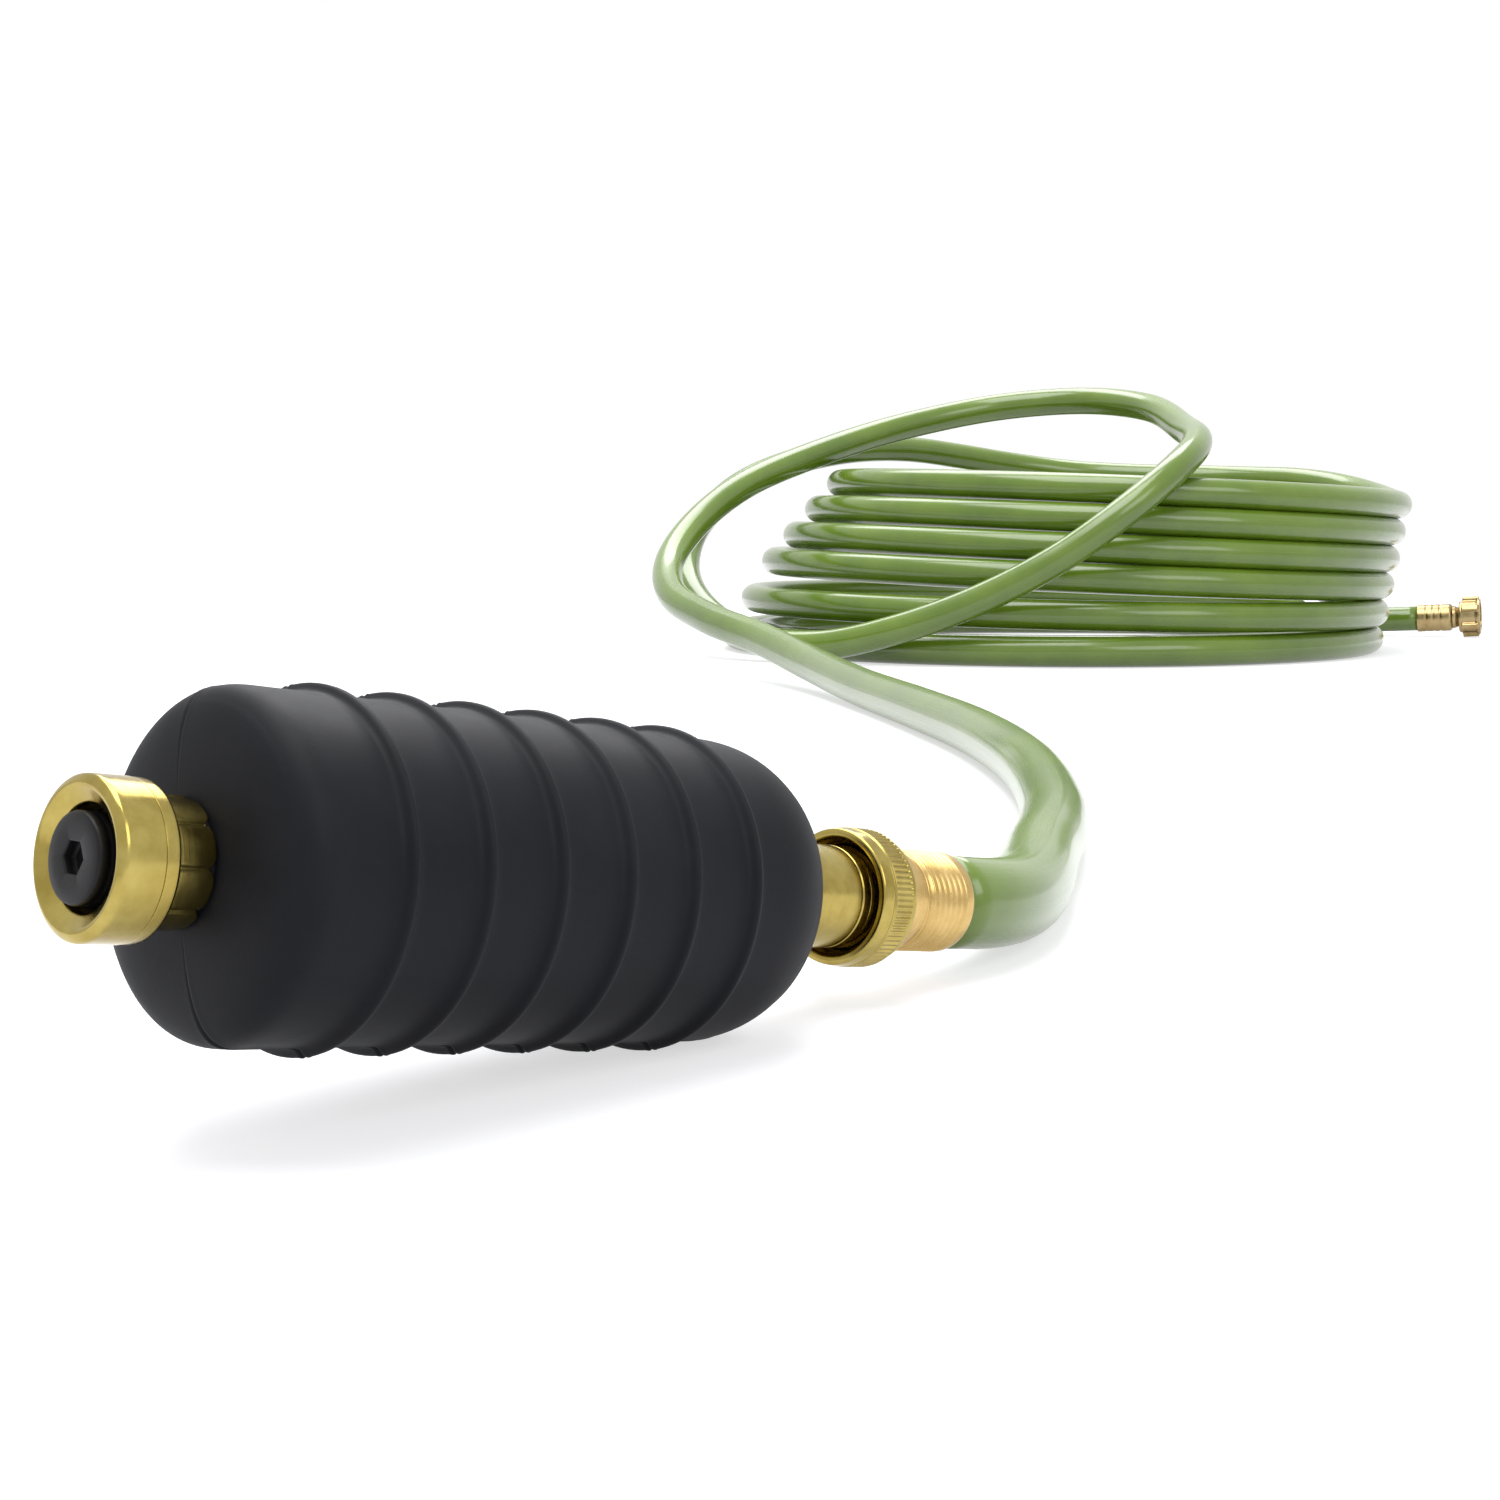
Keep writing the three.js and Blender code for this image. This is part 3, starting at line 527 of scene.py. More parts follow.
RUBBER = plain_material("rubber", (0.007, 0.0075, 0.010), (0.012, 0.0125, 0.016), (0.5, 0.6), 35.0, 1400.0, 0.12,
                        specular=0.13)
BLACK = plain_material("black_plastic", (0.004, 0.004, 0.005), (0.007, 0.007, 0.008), (0.36, 0.46),
                       150.0, 2600.0, 0.1, specular=0.22)
WASHER = plain_material("washer_rubber", (0.014, 0.014, 0.014), (0.03, 0.03, 0.03), (0.6, 0.8), 200.0, 2400.0, 0.3)
STEEL = plain_material("spring_steel", (0.45, 0.45, 0.46), (0.6, 0.6, 0.62), (0.22, 0.34), 300.0, 4000.0, 0.05, 1.0)
BRASS = brass_material("brass", (0.32, 0.24, 0.058), (0.43, 0.345, 0.10), (0.15, 0.25))
CAST_BRASS = plain_material("cast_brass", (0.45, 0.35, 0.13), (0.55, 0.44, 0.19), (0.25, 0.38),
                            160.0, 1800.0, 0.15, 1.0)
COUPLING_BRASS = brass_material("coupling_brass", (0.50, 0.34, 0.12), (0.62, 0.44, 0.18), (0.24, 0.34), 5200.0)
PALE_BRASS = brass_material("pale_brass", (0.30, 0.215, 0.095), (0.40, 0.31, 0.16), (0.26, 0.38), 3000.0)
HOSE = hose_material()


def finish_piece(piece, material, body=BODY, stands_for=()):
    piece.data.materials.append(material)
    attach(piece, body)
    if stands_for:
        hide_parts(*stands_for)
    return piece


def dress(node, material):
    """A CAD piece that keeps its shape and takes a better finish."""
    shown = frame["nodes"][node]
    shown.data.materials.clear()
    shown.data.materials.append(material)


# Camera, before all else

def place_camera():
    data = bpy.data.cameras.new("camera")
    data.lens = CAMERA_LENS
    data.sensor_width = 36.0
    data.clip_end = 60.0
    camera = bpy.data.objects.new("camera", data)
    camera.location = [c * MM for c in CAMERA_PLACE]
    camera.rotation_euler = (math.radians(90 - CAMERA_DOWN), 0.0, math.radians(-CAMERA_YAW))
    bpy.context.scene.collection.objects.link(camera)
    bpy.context.scene.camera = camera


# Hose

def smooth(t):
    t = np.clip(t, 0.0, 1.0)
    return t * t * (3 - 2 * t)


def leaned(radius, angle, height):
    """A point of the coil, with its layer moved off the one below and lifted on the side that it leans from."""
    layer = (height - HOSE_R) / COIL_RISE
    lift = COIL_LIFT * min(1.0, layer / COIL_LIFT_LAYERS) * (1 - math.cos(angle - COIL_LEAN_SIDE)) / 2
    slide = COIL_LEAN * layer
    return (COIL_CENTRE[0] + radius * math.cos(angle) + slide * math.cos(COIL_LEAN_SIDE),
            COIL_CENTRE[1] + radius * math.sin(angle) + slide * math.sin(COIL_LEAN_SIDE), height + lift)


def clear_of_foot(point, angle):
    """Where the last turn steps in past the lowest outer one, it stays a whole hose away from it."""
    foot = np.array(leaned(COIL_BOTTOM_R, angle, HOSE_R + FLOOR_GAP))
    away = np.array(point) - foot
    return tuple(foot + away * max(1.0, 2 * HOSE_R / np.linalg.norm(away)))


def coil_points():
    """The coil, clockwise from its top: each turn keeps one radius and height, then steps to the next.

    The lowest turn goes down inside first, then steps out on the floor and leaves as the tail.
    """
    points = []
    end = COIL_LEAVE - 360 * (COIL_LAYERS + 1)
    angles = np.arange(COIL_START, end, -360 / POINTS_PER_TURN)
    for angle in np.append(angles, end):
        travelled = (STEP_DOWN_FROM - angle) / 360
        turn = math.floor(travelled) if travelled > 0 else -1
        share = smooth((travelled - turn) * 360 / STEP_DOWN_OVER) if travelled > 0 else 0.0
        layer = COIL_LAYERS - max(turn, 0) - share
        if turn < COIL_LAYERS - 1:
            radius = COIL_BOTTOM_R - COIL_STEP_IN * layer
            height = HOSE_R + COIL_RISE * layer
        else:
            down = smooth(min(1.0, STEP_IN_HURRY * (travelled - (COIL_LAYERS - 1)) * 360 / STEP_DOWN_OVER))
            first = math.atan2(COIL_RISE, -COIL_STEP_IN)
            swing = first + (math.pi - first) * down
            radius = COIL_BOTTOM_R + (COIL_BOTTOM_R - INNER_BOTTOM_R) * math.cos(swing)
            height = HOSE_R + 2 * HOSE_R * math.sin(swing)
            out = smooth((STEP_OUT_FROM - 360 * COIL_LAYERS - angle) / STEP_OUT_OVER)
            radius += (COIL_BOTTOM_R - radius) * out
        turn_angle = math.radians(angle)
        lies = COIL_WANDER * math.sin(3 * turn_angle + COIL_DRIFT * layer) * smooth(layer)
        point = leaned(radius + lies, turn_angle, max(height, HOSE_R + FLOOR_GAP))
        steps_in = COIL_LAYERS - 1 <= travelled <= COIL_LAYERS - 1 + STEP_DOWN_OVER / 360
        points.append(clear_of_foot(point, turn_angle) if steps_in else point)
    return points


def spline(points, step):
    """Centripetal Catmull-Rom curve through the points, sampled at even steps of its length."""
    points = np.array(points, float)
    points = np.vstack([2 * points[0] - points[1], points, 2 * points[-1] - points[-2]])
    samples = []
    for p0, p1, p2, p3 in zip(points, points[1:], points[2:], points[3:]):
        t1 = math.sqrt(np.linalg.norm(p1 - p0))
        t2 = t1 + math.sqrt(np.linalg.norm(p2 - p1))
        t3 = t2 + math.sqrt(np.linalg.norm(p3 - p2))
        t = np.linspace(t1, t2, 24, endpoint=False)[:, None]
        a1 = (t1 - t) / t1 * p0 + t / t1 * p1
        a2 = (t2 - t) / (t2 - t1) * p1 + (t - t1) / (t2 - t1) * p2
        a3 = (t3 - t) / (t3 - t2) * p2 + (t - t2) / (t3 - t2) * p3
        b1 = (t2 - t) / t2 * a1 + t / t2 * a2
        b2 = (t3 - t) / (t3 - t1) * a2 + (t - t1) / (t3 - t1) * a3
        samples.append((t2 - t) / (t2 - t1) * b1 + (t - t1) / (t2 - t1) * b2)
    samples = np.vstack(samples + [points[-2:-1]])
    distance = np.concatenate([[0], np.cumsum(np.linalg.norm(np.diff(samples, axis=0), axis=1))])
    even = np.linspace(0, distance[-1], int(round(distance[-1] / step)) + 1)
    return np.stack([np.interp(even, distance, samples[:, k]) for k in range(3)], 1)


def tube_points(path, radius, sides):
    """Rings of points square to the path: each ring is the one before, turned only as the path turns."""
    tangent = np.gradient(path, axis=0)
    tangent /= np.linalg.norm(tangent, axis=1)[:, None]
    side = np.cross(tangent[0], (0.0, 0.0, 1.0))
    sides_out = []
    for direction in tangent:
        side = side - direction * np.dot(side, direction)
        side = side / np.linalg.norm(side)
        sides_out.append(side)
    across = np.array(sides_out)
    over = np.cross(across, tangent)
    angle = round_angles(sides)[None, :, None]
    return path[:, None] + radius * (np.cos(angle) * across[:, None] + np.sin(angle) * over[:, None])


def make_hose():
    exit_point = BLADDER.on_axis(COUPLING_REAR + GAP)
    straight = BLADDER.on_axis(COUPLING_REAR + GAP + HOSE_STRAIGHT)
    route = [exit_point / MM, straight / MM, *LEAD_ROUTE, *coil_points(), *TAIL_ROUTE]
    path = spline(route, HOSE_STEP) * MM
    length = float(np.linalg.norm(np.diff(path, axis=0), axis=1).sum())
    rings = tube_points(path, HOSE_R * MM, HOSE_SIDES)
    distance = np.linspace(0, length, len(path))
    uv = np.stack(np.meshgrid(distance, np.arange(HOSE_SIDES + 1) / HOSE_SIDES, indexing="ij"), 2)
    hose = surface("green_hose", rings, wrap_rows=False, caps=True, uv=uv)
    finish_piece(hose, HOSE, stands_for=["hose_lead", "hose_coil", "hose_tail"])
    return hose, path, tuple(exit_point), length


# Bladder

def dome(foot, length, roundness, direction, shrink, end_r, steps):
    """Points from the foot of a dome to end_r: (x/length)^n + (r/body)^n = 1."""
    body, reach = BODY_R - shrink, length - shrink
    last = (1 - (end_r / body) ** roundness) ** (1 / roundness)
    share = last * np.sin(np.linspace(0, 1, steps) * math.pi / 2)
    radius = body * (1 - share ** roundness) ** (1 / roundness)
    return np.stack([foot + direction * share * reach, radius], 1)


def rib_rise(along):
    """Height of the ring ribs: a narrow round top with concave flanks that run out into the wall."""
    rise = np.zeros_like(along)
    for rib in range(RIB_COUNT):
        away = np.abs(along - rib * RIB_PITCH) / RIB_HALF_WIDTH
        top = 1 / (1 + (away / 0.34) ** 4) ** 0.8
        rise = rise + RIB_HEIGHT * top
    return rise


def make_bladder():
    last_rib = (RIB_COUNT - 1) * RIB_PITCH
    front = dome(-FRONT_STRAIGHT, FRONT_DOME, FRONT_ROUNDNESS, -1, 0, NECK_R, 40)[::-1]
    along = np.arange(-FRONT_STRAIGHT + 0.4, last_rib + REAR_STRAIGHT, 0.4)
    middle = np.stack([along, BODY_R + rib_rise(along)], 1)
    rear = dome(last_rib + REAR_STRAIGHT, REAR_DOME, REAR_ROUNDNESS, 1, 0, NECK_R, 50)
    rear_inside = dome(last_rib + REAR_STRAIGHT, REAR_DOME, REAR_ROUNDNESS, 1, WALL, NECK_BORE_R + 0.6, 16)[::-1]
    front_inside = dome(-FRONT_STRAIGHT, FRONT_DOME, FRONT_ROUNDNESS, -1, WALL, NECK_BORE_R + 0.6, 16)
    outline = np.vstack([
        [(NECK_FRONT, NECK_BORE_R), (NECK_FRONT, NECK_R)], front, middle, rear,
        [(NECK_REAR, NECK_R), (NECK_REAR, NECK_BORE_R), (REAR_FACE - WALL, NECK_BORE_R)],
        rear_inside, front_inside, [(FRONT_FACE + WALL, NECK_BORE_R)]])
    seams = np.radians([PARTING_ANGLE, PARTING_ANGLE + 180])
    spread = np.array([-2.4, -1.5, -1.0, -0.7, -0.45, -0.2, 0.0, 0.2, 0.45, 0.7, 1.0, 1.5, 2.4])
    near = np.concatenate([seam + np.radians(spread) for seam in seams]) % TAU
    even = round_angles(132)
    apart = np.min(np.abs((even[:, None] - seams[None, :] + math.pi) % TAU - math.pi), axis=1)
    angles = np.sort(np.concatenate([even[apart > math.radians(3.0)], near]))

    def moulded(along, radius, angle):
        """The wall wanders a little from round, and the mould's parting line is a fine groove."""
        outer = smooth((radius - 20) / 6) * (radius > BODY_R - WALL + 0.5)
        wander = np.sin(2 * angle + 0.7 + along / 37) * 0.6 + np.sin(3 * angle - along / 23) * 0.4
        off = np.min([np.abs((angle - seam + math.pi) % TAU - math.pi) for seam in seams], axis=0) * BODY_R
        skin = smooth((radius - NECK_R - 0.5) / 4)
        groove = np.exp(-(off / PARTING_WIDTH) ** 2) * skin
        lip = np.exp(-((off - 2.2 * PARTING_WIDTH) / PARTING_WIDTH) ** 2) * skin
        return along, radius - SLACK * (1 + wander) * 0.5 * outer - PARTING_DEPTH * groove + PARTING_LIP * lip

    return finish_piece(turned("bladder_skin", BLADDER, outline, angles, moulded), RUBBER,
                        stands_for=["bladder"])


# Nozzle

def make_front_ferrule():
    outline = refined(rounded([
        (FERRULE_FRONT, FERRULE_LIP_R), (FERRULE_FRONT, FERRULE_R), (FERRULE_REAR, FERRULE_R),
        (FERRULE_REAR, FERRULE_BORE_R), (NECK_FRONT - GAP, FERRULE_BORE_R), (NECK_FRONT - GAP, FERRULE_LIP_R),
    ], [0.2, 0.6, 0.35, 0.2, 0.2, 0.2]), 0.35)

    def crimped(along, radius, angle):
        """Lengthwise crimp grooves, each ending in a small notch that scallops the rear edge."""
        phase = (angle * CRIMP_COUNT / TAU + 0.25) % 1 - 0.5
        off = phase * TAU / CRIMP_COUNT * FERRULE_R
        skin = smooth((radius - FERRULE_BORE_R - 0.2) / 0.6)
        groove = np.exp(-(off / CRIMP_WIDTH) ** 2)
        tail = smooth((along - FERRULE_REAR + NOTCH_LENGTH) / NOTCH_LENGTH)
        notch = np.exp(-(np.abs(off) / (0.35 + 0.9 * tail)) ** 2)
        return along - NOTCH_DEPTH * notch * tail, radius - CRIMP_DEPTH * skin * groove

    return finish_piece(turned("front_ferrule_crimped", BLADDER, outline, round_angles(432), crimped), BRASS,
                        stands_for=["front_ferrule"])


def make_cap():
    side_line = CAP_REAR - CAP_LINE
    outline = refined(rounded([
        (CAP_REAR, CAP_SPIGOT_R), (CAP_REAR, CAP_R - 0.1), (side_line + 0.12, CAP_R - 0.1),
        (side_line, CAP_R - 0.28), (side_line - 0.12, CAP_R), (CAP_FRONT + 0.9, CAP_R), (CAP_FRONT, CAP_R - 1.5),
        (CAP_FRONT + 0.1, CAP_R - 2.3), (CAP_FRONT + CAP_DISH, CAP_BORE_R), (SEAT_REAR, CAP_BORE_R),
        (SEAT_REAR, CAP_SPIGOT_R),
    ], [0.2, 0.6, 0.05, 0.1, 0.05, 1.4, 0.7, 0.6, 0.5, 0.1, 0.1], 5), 0.5)
    return finish_piece(turned("nozzle_cap_turned", BLADDER, outline, round_angles(160)), BRASS,
                        stands_for=["nozzle_cap"])


def hex_radius(angle, across_flats):
    """Distance from a hexagon's middle to its edge at an angle."""
    return across_flats / 2 / np.cos((angle + TAU / 12) % (TAU / 6) - TAU / 12)


def make_poppet():
    """Round insert with a hex socket: the profile starts at the socket's floor and ends at the stem's end."""
    body = [(POPPET_FRONT, 6.2), (POPPET_FRONT, POPPET_R - 0.7), (POPPET_FRONT + 0.2, POPPET_R - 0.2),
            (POPPET_FRONT + 0.7, POPPET_R), (POPPET_LINE - 0.3, POPPET_R), (POPPET_LINE, POPPET_R - 0.22),
            (POPPET_LINE + 0.3, POPPET_R),
            (POPPET_REAR - 0.3, POPPET_R), (POPPET_REAR, POPPET_R - 0.3), (POPPET_REAR, 5.0),
            (POPPET_REAR, STEM_R + 0.2), (POPPET_REAR + 0.2, STEM_R), (STEM_REAR - 0.3, STEM_R),
            (STEM_REAR, STEM_R - 0.3), (STEM_REAR, 0.02)]
    hex_rows = [(POPPET_FRONT + HEX_DEPTH, 0.02, 0.0), (POPPET_FRONT + HEX_DEPTH, 0.9, 1.0),
                (POPPET_FRONT + HEX_DEPTH, 1.0, 1.0), (POPPET_FRONT + 1.3, 1.0, 1.0),
                (POPPET_FRONT + 0.35, 1.0, 1.0), (POPPET_FRONT + 0.08, 1.03, 1.0), (POPPET_FRONT, 1.12, 1.0)]
    angles = round_angles(144)
    rows = []
    for along, share, on_hex in hex_rows:
        radius = share * hex_radius(angles, HEX_ACROSS_FLATS) if on_hex else np.full_like(angles, share)
        rows.append(BLADDER.turned(np.full_like(angles, along), radius, angles))
    for along, radius in body:
        rows.append(BLADDER.turned(np.full_like(angles, along), np.full_like(angles, radius), angles))
    piece = surface("valve_insert", np.array(rows), wrap_rows=False, caps=True)
    return finish_piece(piece, BLACK, body="valve", stands_for=["valve_poppet"])


def make_spring():
    """Wound spring between the guide and the stem's nut, which comes closer as the insert slides out; the coil
    itself is a fixed mesh on the bladder's body and keeps its length.
    """
    start, end = SPRING
    along = np.linspace(start + SPRING_WIRE_R, end - SPRING_WIRE_R, SPRING_POINTS)
    wound = np.linspace(0, SPRING_TURNS * TAU, SPRING_POINTS)
    path = BLADDER.turned(along, np.full_like(along, SPRING_R), wound)
    wire = surface("valve_spring_wound", tube_points(path, SPRING_WIRE_R * MM, SPRING_SIDES), wrap_rows=False,
                   caps=True)
    finish_piece(wire, STEEL, stands_for=["valve_spring"])
    anchor = BLADDER.on_axis(start)
    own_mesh(wire)


# Rear coupling

def make_tailpiece():
    outline = refined(rounded([
        (REAR_FACE - TUBE_INSIDE, WATERWAY_R), (REAR_FACE - TUBE_INSIDE, TUBE_R),
        (BEAD_FRONT, TUBE_R), (BEAD_FRONT, BEAD_R),
        (BEAD_REAR, BEAD_R), (BEAD_REAR, TUBE_R), (FLANGE[0], TUBE_R), (FLANGE[0], FLANGE_R),
        (FLANGE[1], FLANGE_R), (FLANGE[1], WATERWAY_R),
    ], [0.2, 0.4, 0.2, 1.4, 1.4, 0.2, 0.2, 0.3, 0.3, 0.2], 5), 1.2)
    return finish_piece(turned("tailpiece_turned", BLADDER, outline, round_angles(120)), BRASS,
                        stands_for=["tailpiece"])


def make_rear_ferrule():
    outline = refined(rounded([
        (REAR_FACE + GAP, FERRULE_BORE_R), (REAR_FACE + GAP, FERRULE_R), (REAR_LINE - 0.3, FERRULE_R),
        (REAR_LINE, FERRULE_R - 0.25), (REAR_LINE + 0.3, FERRULE_R), (REAR_SLEEVE_END, FERRULE_R),
        (REAR_SLEEVE_END, FERRULE_LIP_R), (NECK_REAR + GAP, FERRULE_LIP_R), (NECK_REAR + GAP, FERRULE_BORE_R),
    ], [0.2, 0.3, 0.1, 0.1, 0.1, 0.7, 0.2, 0.2, 0.2], 4), 0.6)
    return finish_piece(turned("rear_ferrule_turned", BLADDER, outline, round_angles(120)), BRASS,
                        stands_for=["rear_ferrule"])


def make_coupling_nut():
    shoulder = NUT_R - 0.9
    outline = refined(rounded([
        (NUT_FRONT, NUT_RIM_R + 0.2), (NUT_FRONT, NUT_R - 0.5), (KNURL_FRONT - 0.9, NUT_R - 0.1),
        (KNURL_FRONT - 0.4, NUT_R - 0.45), (KNURL_FRONT, NUT_R), (KNURL_REAR, NUT_R),
        (KNURL_REAR + 0.4, shoulder), (NUT_REAR - 1.0, shoulder), (NUT_REAR, shoulder - 1.0),
        (NUT_REAR, NUT_BORE_R), (WEB_REAR, NUT_BORE_R), (WEB_REAR, FERRULE_LIP_R),
        (WEB_FRONT, FERRULE_LIP_R), (WEB_FRONT, BEAD_R + 0.4), (NUT_FRONT + DISH_LIP, NUT_RIM_R - 0.2),
    ], [0.7, 1.1, 0.3, 0.2, 0.15, 0.15, 0.2, 0.5, 0.4, 0.3, 0.2, 0.2, 0.3, 0.5, 0.6], 5), 0.4)

    def knurled(along, radius, angle):
        """Straight teeth round the band between its two edges: a wave in the angle, faded at both ends."""
        band = smooth((along - KNURL_FRONT) / 0.5) * smooth((KNURL_REAR - along) / 0.5)
        band = band * (radius > NUT_R - 0.3)
        wave = np.abs((angle * KNURL_COUNT / TAU) % 1 - 0.5) * 2
        return along, radius - KNURL_DEPTH * band * smooth(wave)

    return finish_piece(turned("coupling_nut_knurled", BLADDER, outline, round_angles(KNURL_COUNT * 8), knurled),
                        BRASS, stands_for=["coupling_nut"])


def make_hose_coupling():
    outline = refined(rounded([
        (COUPLING_FRONT, WATERWAY_R), (COUPLING_FRONT, THREAD_R - 0.9), (COUPLING_FRONT + 1, THREAD_R),
        (THREAD_FRONT - 2.8, THREAD_R), (THREAD_FRONT - 2.2, THREAD_R - THREAD_DEPTH),
        (THREAD_FRONT, THREAD_R - THREAD_DEPTH), (THREAD_FRONT + 0.6, THREAD_R), (THREAD_REAR + 0.4, THREAD_R),
        (COUPLING_REAR, THREAD_R - 0.1), (COUPLING_REAR, WATERWAY_R),
    ], [0.2, 0.3, 0.3, 0.4, 0.3, 0.3, 0.3, 0.3, 0.7, 0.2], 4), 0.22)

    def threaded(along, radius, angle):
        """One right-hand helix: the depth is a rounded wave of (along / pitch - angle / turn)."""
        phase = (along / THREAD_PITCH - angle / TAU) % 1
        band = smooth((along - THREAD_FRONT) / 1.2) * smooth((THREAD_REAR - along) / 1.2)
        skin = radius > THREAD_R - 0.3
        cutting = smooth(np.abs(phase - 0.5) * 2)
        return along, radius - THREAD_DEPTH * band * skin * cutting

    return finish_piece(turned("hose_coupling_threaded", BLADDER, outline, round_angles(144), threaded),
                        COUPLING_BRASS, stands_for=["hose_coupling"])


# Far coupling

def make_far_ferrule():
    start, end = FAR_FERRULE
    outline = refined(rounded([
        (start, WATERWAY_R), (start, FAR_FERRULE_R), (end - 2.0, FAR_FERRULE_R), (end, FAR_FERRULE_R - 1.8),
        (end, WATERWAY_R),
    ], [0.2, 0.8, 1.0, 0.6, 0.2], 4), 0.5)

    def crimped(along, radius, angle):
        """Three shallow rings pressed in round the ferrule."""
        skin = radius > FAR_FERRULE_R - 0.6
        press = sum(np.exp(-((along - ring) / FAR_RING_WIDTH) ** 2) for ring in FAR_RINGS)
        return along, radius - FAR_RING_DEPTH * press * skin * (0.8 + 0.2 * np.cos(8 * angle))

    piece = turned("far_ferrule_crimped", FAR, outline, round_angles(96), crimped)
    return finish_piece(piece, PALE_BRASS, stands_for=["far_ferrule"])


def make_far_stem():
    start, end = FAR_STEM
    floor = FAR_MOUTH_FLOOR
    outline = refined(rounded([
        (start, WATERWAY_R), (start, FAR_FERRULE_R - 2.2), (start + 2.6, FAR_FERRULE_R - 2.6), (end, TUBE_R + 1.2),
        (end, TUBE_R), (floor + GAP, TUBE_R), (floor + GAP, FLANGE_R),
        (floor + 1.5, FLANGE_R), (floor + 1.5, WATERWAY_R),
    ], 0.3), 0.8)
    return finish_piece(turned("far_stem_turned", FAR, outline, round_angles(80)), PALE_BRASS,
                        stands_for=["far_stem"])


def make_far_nut():
    back, front = FAR_NUT
    outline = refined(rounded([
        (back, FAR_HOLE_R), (back, FAR_NUT_R - 2.6), (back + 1.4, FAR_NUT_R - 1.7), (front - 4.4, FAR_NUT_R - 1.7),
        (front - 2.6, FAR_NUT_R), (front, FAR_NUT_R), (front, NUT_BORE_R), (FAR_MOUTH_FLOOR, NUT_BORE_R),
        (FAR_MOUTH_FLOOR, FAR_HOLE_R),
    ], [0.2, 0.6, 0.6, 0.8, 0.7, 0.6, 0.3, 0.2, 0.2], 4), 0.35)

    def lugged(along, radius, angle):
        """Grip lugs along the nut, and thread rings inside its mouth."""
        phase = (angle * FAR_LUG_COUNT / TAU + 0.5) % 1 - 0.5
        off = np.abs(phase) * TAU / FAR_LUG_COUNT * FAR_NUT_R
        lug = smooth((FAR_LUG_WIDTH / 2 + 0.5 - off) / 1.0)
        length = smooth((along - back - 2.6) / 1.2) * smooth((front - 0.9 - along) / 1.2)
        outer = smooth((radius - NUT_BORE_R - 0.8) / 1.0)
        top = FAR_NUT_R + FAR_LUG_HEIGHT - radius
        inside = np.abs(radius - NUT_BORE_R) < 0.05
        helix = smooth(np.abs((along / THREAD_PITCH - angle / TAU) % 1 - 0.5) * 2)
        run = smooth((along - FAR_MOUTH_FLOOR - 3.5) / 1.5) * smooth((front - 0.8 - along) / 1.0)
        return along, radius + lug * length * outer * top - FAR_THREAD_DEPTH * inside * helix * run

    piece = turned("far_nut_lugged", FAR, outline, round_angles(192), lugged)
    return finish_piece(piece, PALE_BRASS, body="far_nut", stands_for=["far_swivel_nut"])


# Stage

def seen_directly(tree):
    """1 for the rays of the camera, of reflections and of glass, and 0 for those that carry light."""
    path = tree.nodes.new("ShaderNodeLightPath")
    seen = add_node(tree, "ShaderNodeMath", [
        (0, path.outputs["Is Camera Ray"]), (1, path.outputs["Is Glossy Ray"])], operation="MAXIMUM")
    seen = add_node(tree, "ShaderNodeMath", [
        (0, seen.outputs[0]), (1, path.outputs["Is Transmission Ray"])], operation="MAXIMUM")
    return seen.outputs[0]


def floor_material():
    """Pale grey with a glow that only seen rays get, fading to plain white far from the object."""
    material, tree, shader = new_material("floor", 0.0, 0.9)
    shader.inputs["Specular IOR Level"].default_value = 0.0
    shader.inputs["Emission Color"].default_value = (1, 1, 1, 1)
    place = tree.nodes.new("ShaderNodeNewGeometry").outputs["Position"]
    away = add_node(tree, "ShaderNodeVectorMath", [(0, place), (1, FLOOR_MIDDLE)], operation="DISTANCE")
    far = add_node(tree, "ShaderNodeMapRange", [
        ("Value", away.outputs["Value"]), ("From Min", FADE[0]), ("From Max", FADE[1])],
        interpolation_type="SMOOTHSTEP")
    glow = add_node(tree, "ShaderNodeMapRange", [
        ("Value", far.outputs["Result"]), ("To Min", NEAR_GLOW), ("To Max", 1.0)])
    lift = add_node(tree, "ShaderNodeMath", [
        (0, seen_directly(tree)), (1, glow.outputs["Result"])], operation="MULTIPLY")
    tree.links.new(lift.outputs[0], shader.inputs["Emission Strength"])
    tint(tree, shader, far.outputs["Result"], FLOOR_GREY, (0.0, 0.0, 0.0))
    return material


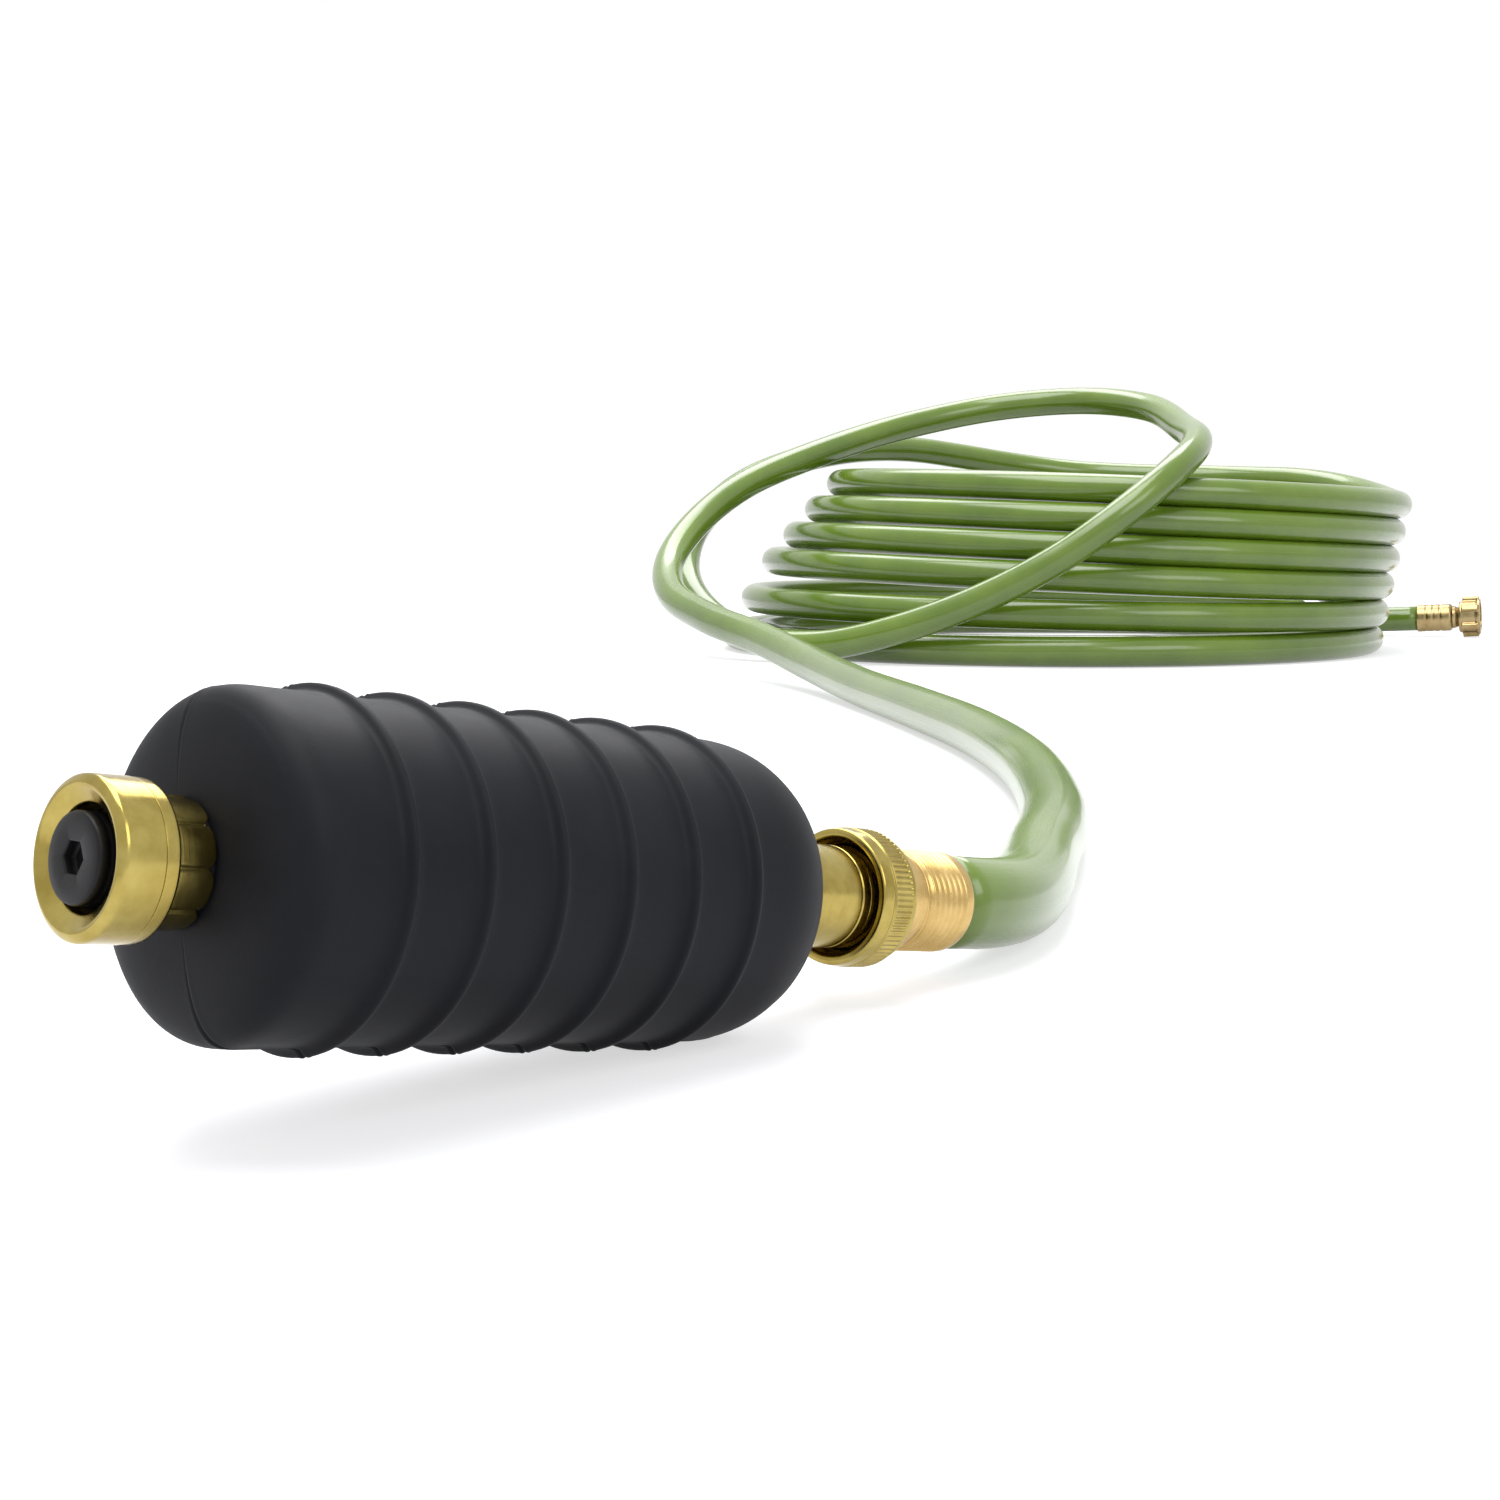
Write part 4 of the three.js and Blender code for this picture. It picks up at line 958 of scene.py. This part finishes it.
def make_floor():
    """Pale floor that keeps the soft shadows."""
    mesh = bpy.data.meshes.new("floor")
    reach = FLOOR_REACH
    mesh.from_pydata([(-reach, -reach, 0), (reach, -reach, 0), (reach, reach, 0), (-reach, reach, 0)], [],
                     [(0, 1, 2, 3)])
    floor = bpy.data.objects.new("floor", mesh)
    floor.location.z = -FLOOR_DROP
    bpy.context.scene.collection.objects.link(floor)
    mesh.materials.append(floor_material())


def make_world():
    """White where it is seen, and a weaker light on the object."""
    world = bpy.data.worlds.new("studio")
    bpy.context.scene.world = world
    world.use_nodes = True
    tree = world.node_tree
    background = tree.nodes["Background"]
    background.inputs["Color"].default_value = (1, 1, 1, 1)
    level = add_node(tree, "ShaderNodeMapRange", [
        ("Value", seen_directly(tree)), ("To Min", WORLD_LEVEL), ("To Max", 1.0)])
    tree.links.new(level.outputs["Result"], background.inputs["Strength"])


def add_light(name, place, aim, size, power):
    data = bpy.data.lights.new(name, "AREA")
    data.shape = "RECTANGLE"
    data.size, data.size_y = size
    data.energy = power
    light = bpy.data.objects.new(name, data)
    place, aim = np.array(place, float), np.array(aim, float)
    light.location = place
    back = (place - aim) / np.linalg.norm(place - aim)
    yaw = math.atan2(back[0], -back[1])
    light.rotation_euler = (math.acos(back[2]), 0.0, yaw)
    bpy.context.scene.collection.objects.link(light)


def light_scene():
    add_light("key", (0.1, 0.5, 2.8), (0.3, 0.3, 0.0), (2.6, 2.0), 85)
    add_light("fill", (0.2, -2.6, 2.0), (0.4, 0.1, 0.0), (2.0, 1.6), 30)
    add_light("back", (2.4, 2.2, 2.8), (1.2, 0.8, 0.0), (2.6, 1.8), 75)


place_camera()
hose, hose_path, hose_exit, hose_length = make_hose()
make_bladder()
make_front_ferrule()
make_cap()
make_poppet()
make_spring()
make_tailpiece()
make_rear_ferrule()
make_coupling_nut()
make_hose_coupling()
far_pieces = [make_far_ferrule(), make_far_stem(), make_far_nut(), frame["nodes"]["far_washer"]]
for washer in ("valve_seat", "coupling_washer", "far_washer"):
    dress(washer, WASHER)
for casting in ("nozzle_body", "valve_stem_nut"):
    dress(casting, CAST_BRASS)
make_floor()
make_world()
light_scene()
bpy.context.scene.view_settings.view_transform = "Standard"
